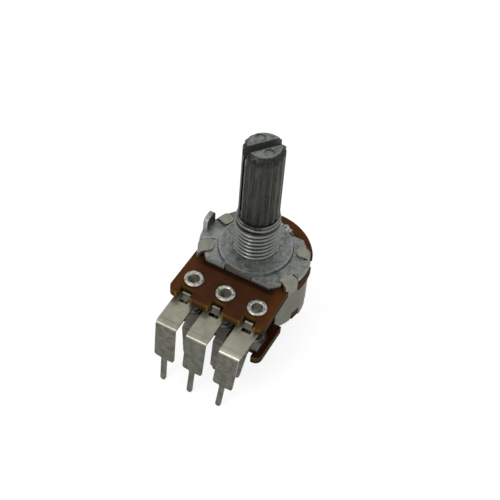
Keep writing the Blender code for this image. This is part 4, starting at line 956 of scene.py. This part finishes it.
def make_floor():
    """Pale floor that shows white, and keeps a faint shadow of the object."""
    work = bmesh.new()
    bmesh.ops.create_grid(work, x_segments=1, y_segments=1, size=FLOOR_SIZE / 2)
    bmesh.ops.translate(work, vec=(0.0, 0.0, FLOOR_LEVEL), verts=work.verts)
    mesh = bpy.data.meshes.new("floor")
    work.to_mesh(mesh)
    work.free()
    floor = bpy.data.objects.new("floor", mesh)
    bpy.context.scene.collection.objects.link(floor)
    finish = Finish("pale_floor", 0.0)
    finish.tree.nodes.remove(finish.shader)
    plain = finish.node("ShaderNodeBsdfDiffuse", {}, {"Color": (0.7, 0.7, 0.7)})
    faint = finish.node("ShaderNodeBsdfDiffuse", {}, {"Color": (0.3, 0.3, 0.3)})
    glow = finish.node("ShaderNodeEmission", {}, {"Color": (1.0, 1.0, 1.0), "Strength": FLOOR_GLOW})
    shown = finish.node("ShaderNodeAddShader", {}, {0: faint, 1: glow})
    both = finish.node("ShaderNodeMixShader", {}, {0: finish.seen(), 1: plain, 2: shown})
    finish.feed(finish.tree.nodes["Material Output"].inputs["Surface"], both)
    mesh.materials.append(finish.material)


def make_world():
    """A white backdrop that the camera and the metal see, and a plain level of light."""
    world = bpy.data.worlds.new("studio")
    world.use_nodes = True
    bpy.context.scene.world = world
    nodes = Nodes(world.node_tree)
    colour = nodes.blend(nodes.seen(), (DAYLIGHT, DAYLIGHT, DAYLIGHT), (1.0, 1.0, 1.0))
    nodes.feed(nodes.tree.nodes["Background"].inputs["Color"], colour)


def make_softbox():
    """A soft square lamp that faces the object."""
    light = bpy.data.lights.new("softbox", "AREA")
    light.shape = "SQUARE"
    light.size = SOFTBOX_SIZE
    light.energy = SOFTBOX_POWER
    lamp = bpy.data.objects.new("softbox", light)
    bpy.context.scene.collection.objects.link(lamp)
    lamp.location = SOFTBOX_PLACE
    lamp.rotation_euler = (-Vector(SOFTBOX_PLACE)).to_track_quat("-Z", "Y").to_euler()


def make_camera():
    """The camera that the photograph was taken with, as fitted."""
    camera = bpy.data.cameras.new("camera")
    camera.lens = CAMERA_LENS
    camera.sensor_width = CAMERA_SENSOR
    camera.clip_start = 1.0 * MM
    camera.clip_end = 10.0
    holder = bpy.data.objects.new("camera", camera)
    bpy.context.scene.collection.objects.link(holder)
    holder.location = CAMERA_PLACE
    holder.rotation_euler = CAMERA_TURN
    bpy.context.scene.camera = holder


ZINC = CastZinc().material
SHAFT = shaft_zinc()
BOARD = phenolic()
TERMINAL = tinned_brass()
EYELET = eyelet_tin()
TINPLATE = tin_plate()
NYLON = moulded_nylon()
BRONZE = sprung_bronze()

make_casting()
make_gate_break()
make_shell()
make_shaft()
make_front_board()
make_rear_board()
for side in SIDES:
    make_front_leg(side)
    leg = f"rear_leg_{side}"
    dressed(f"rear_terminal_{side}", leg, TERMINAL, "tinned_terminal", "housing", STRIP_ROUNDING)
    make_eyelet("front", side)
    make_eyelet("rear", side)
for gang in ("front", "rear"):
    dressed(f"{gang}_rotor", f"{gang}_carrier", NYLON, "black_nylon", "shaft", MOULDING_ROUNDING)
    dressed(f"{gang}_wiper", f"{gang}_brush", BRONZE, "wiper_bronze", "shaft")

make_floor()
make_world()
make_softbox()
make_camera()
bpy.context.scene.view_settings.view_transform = "Standard"
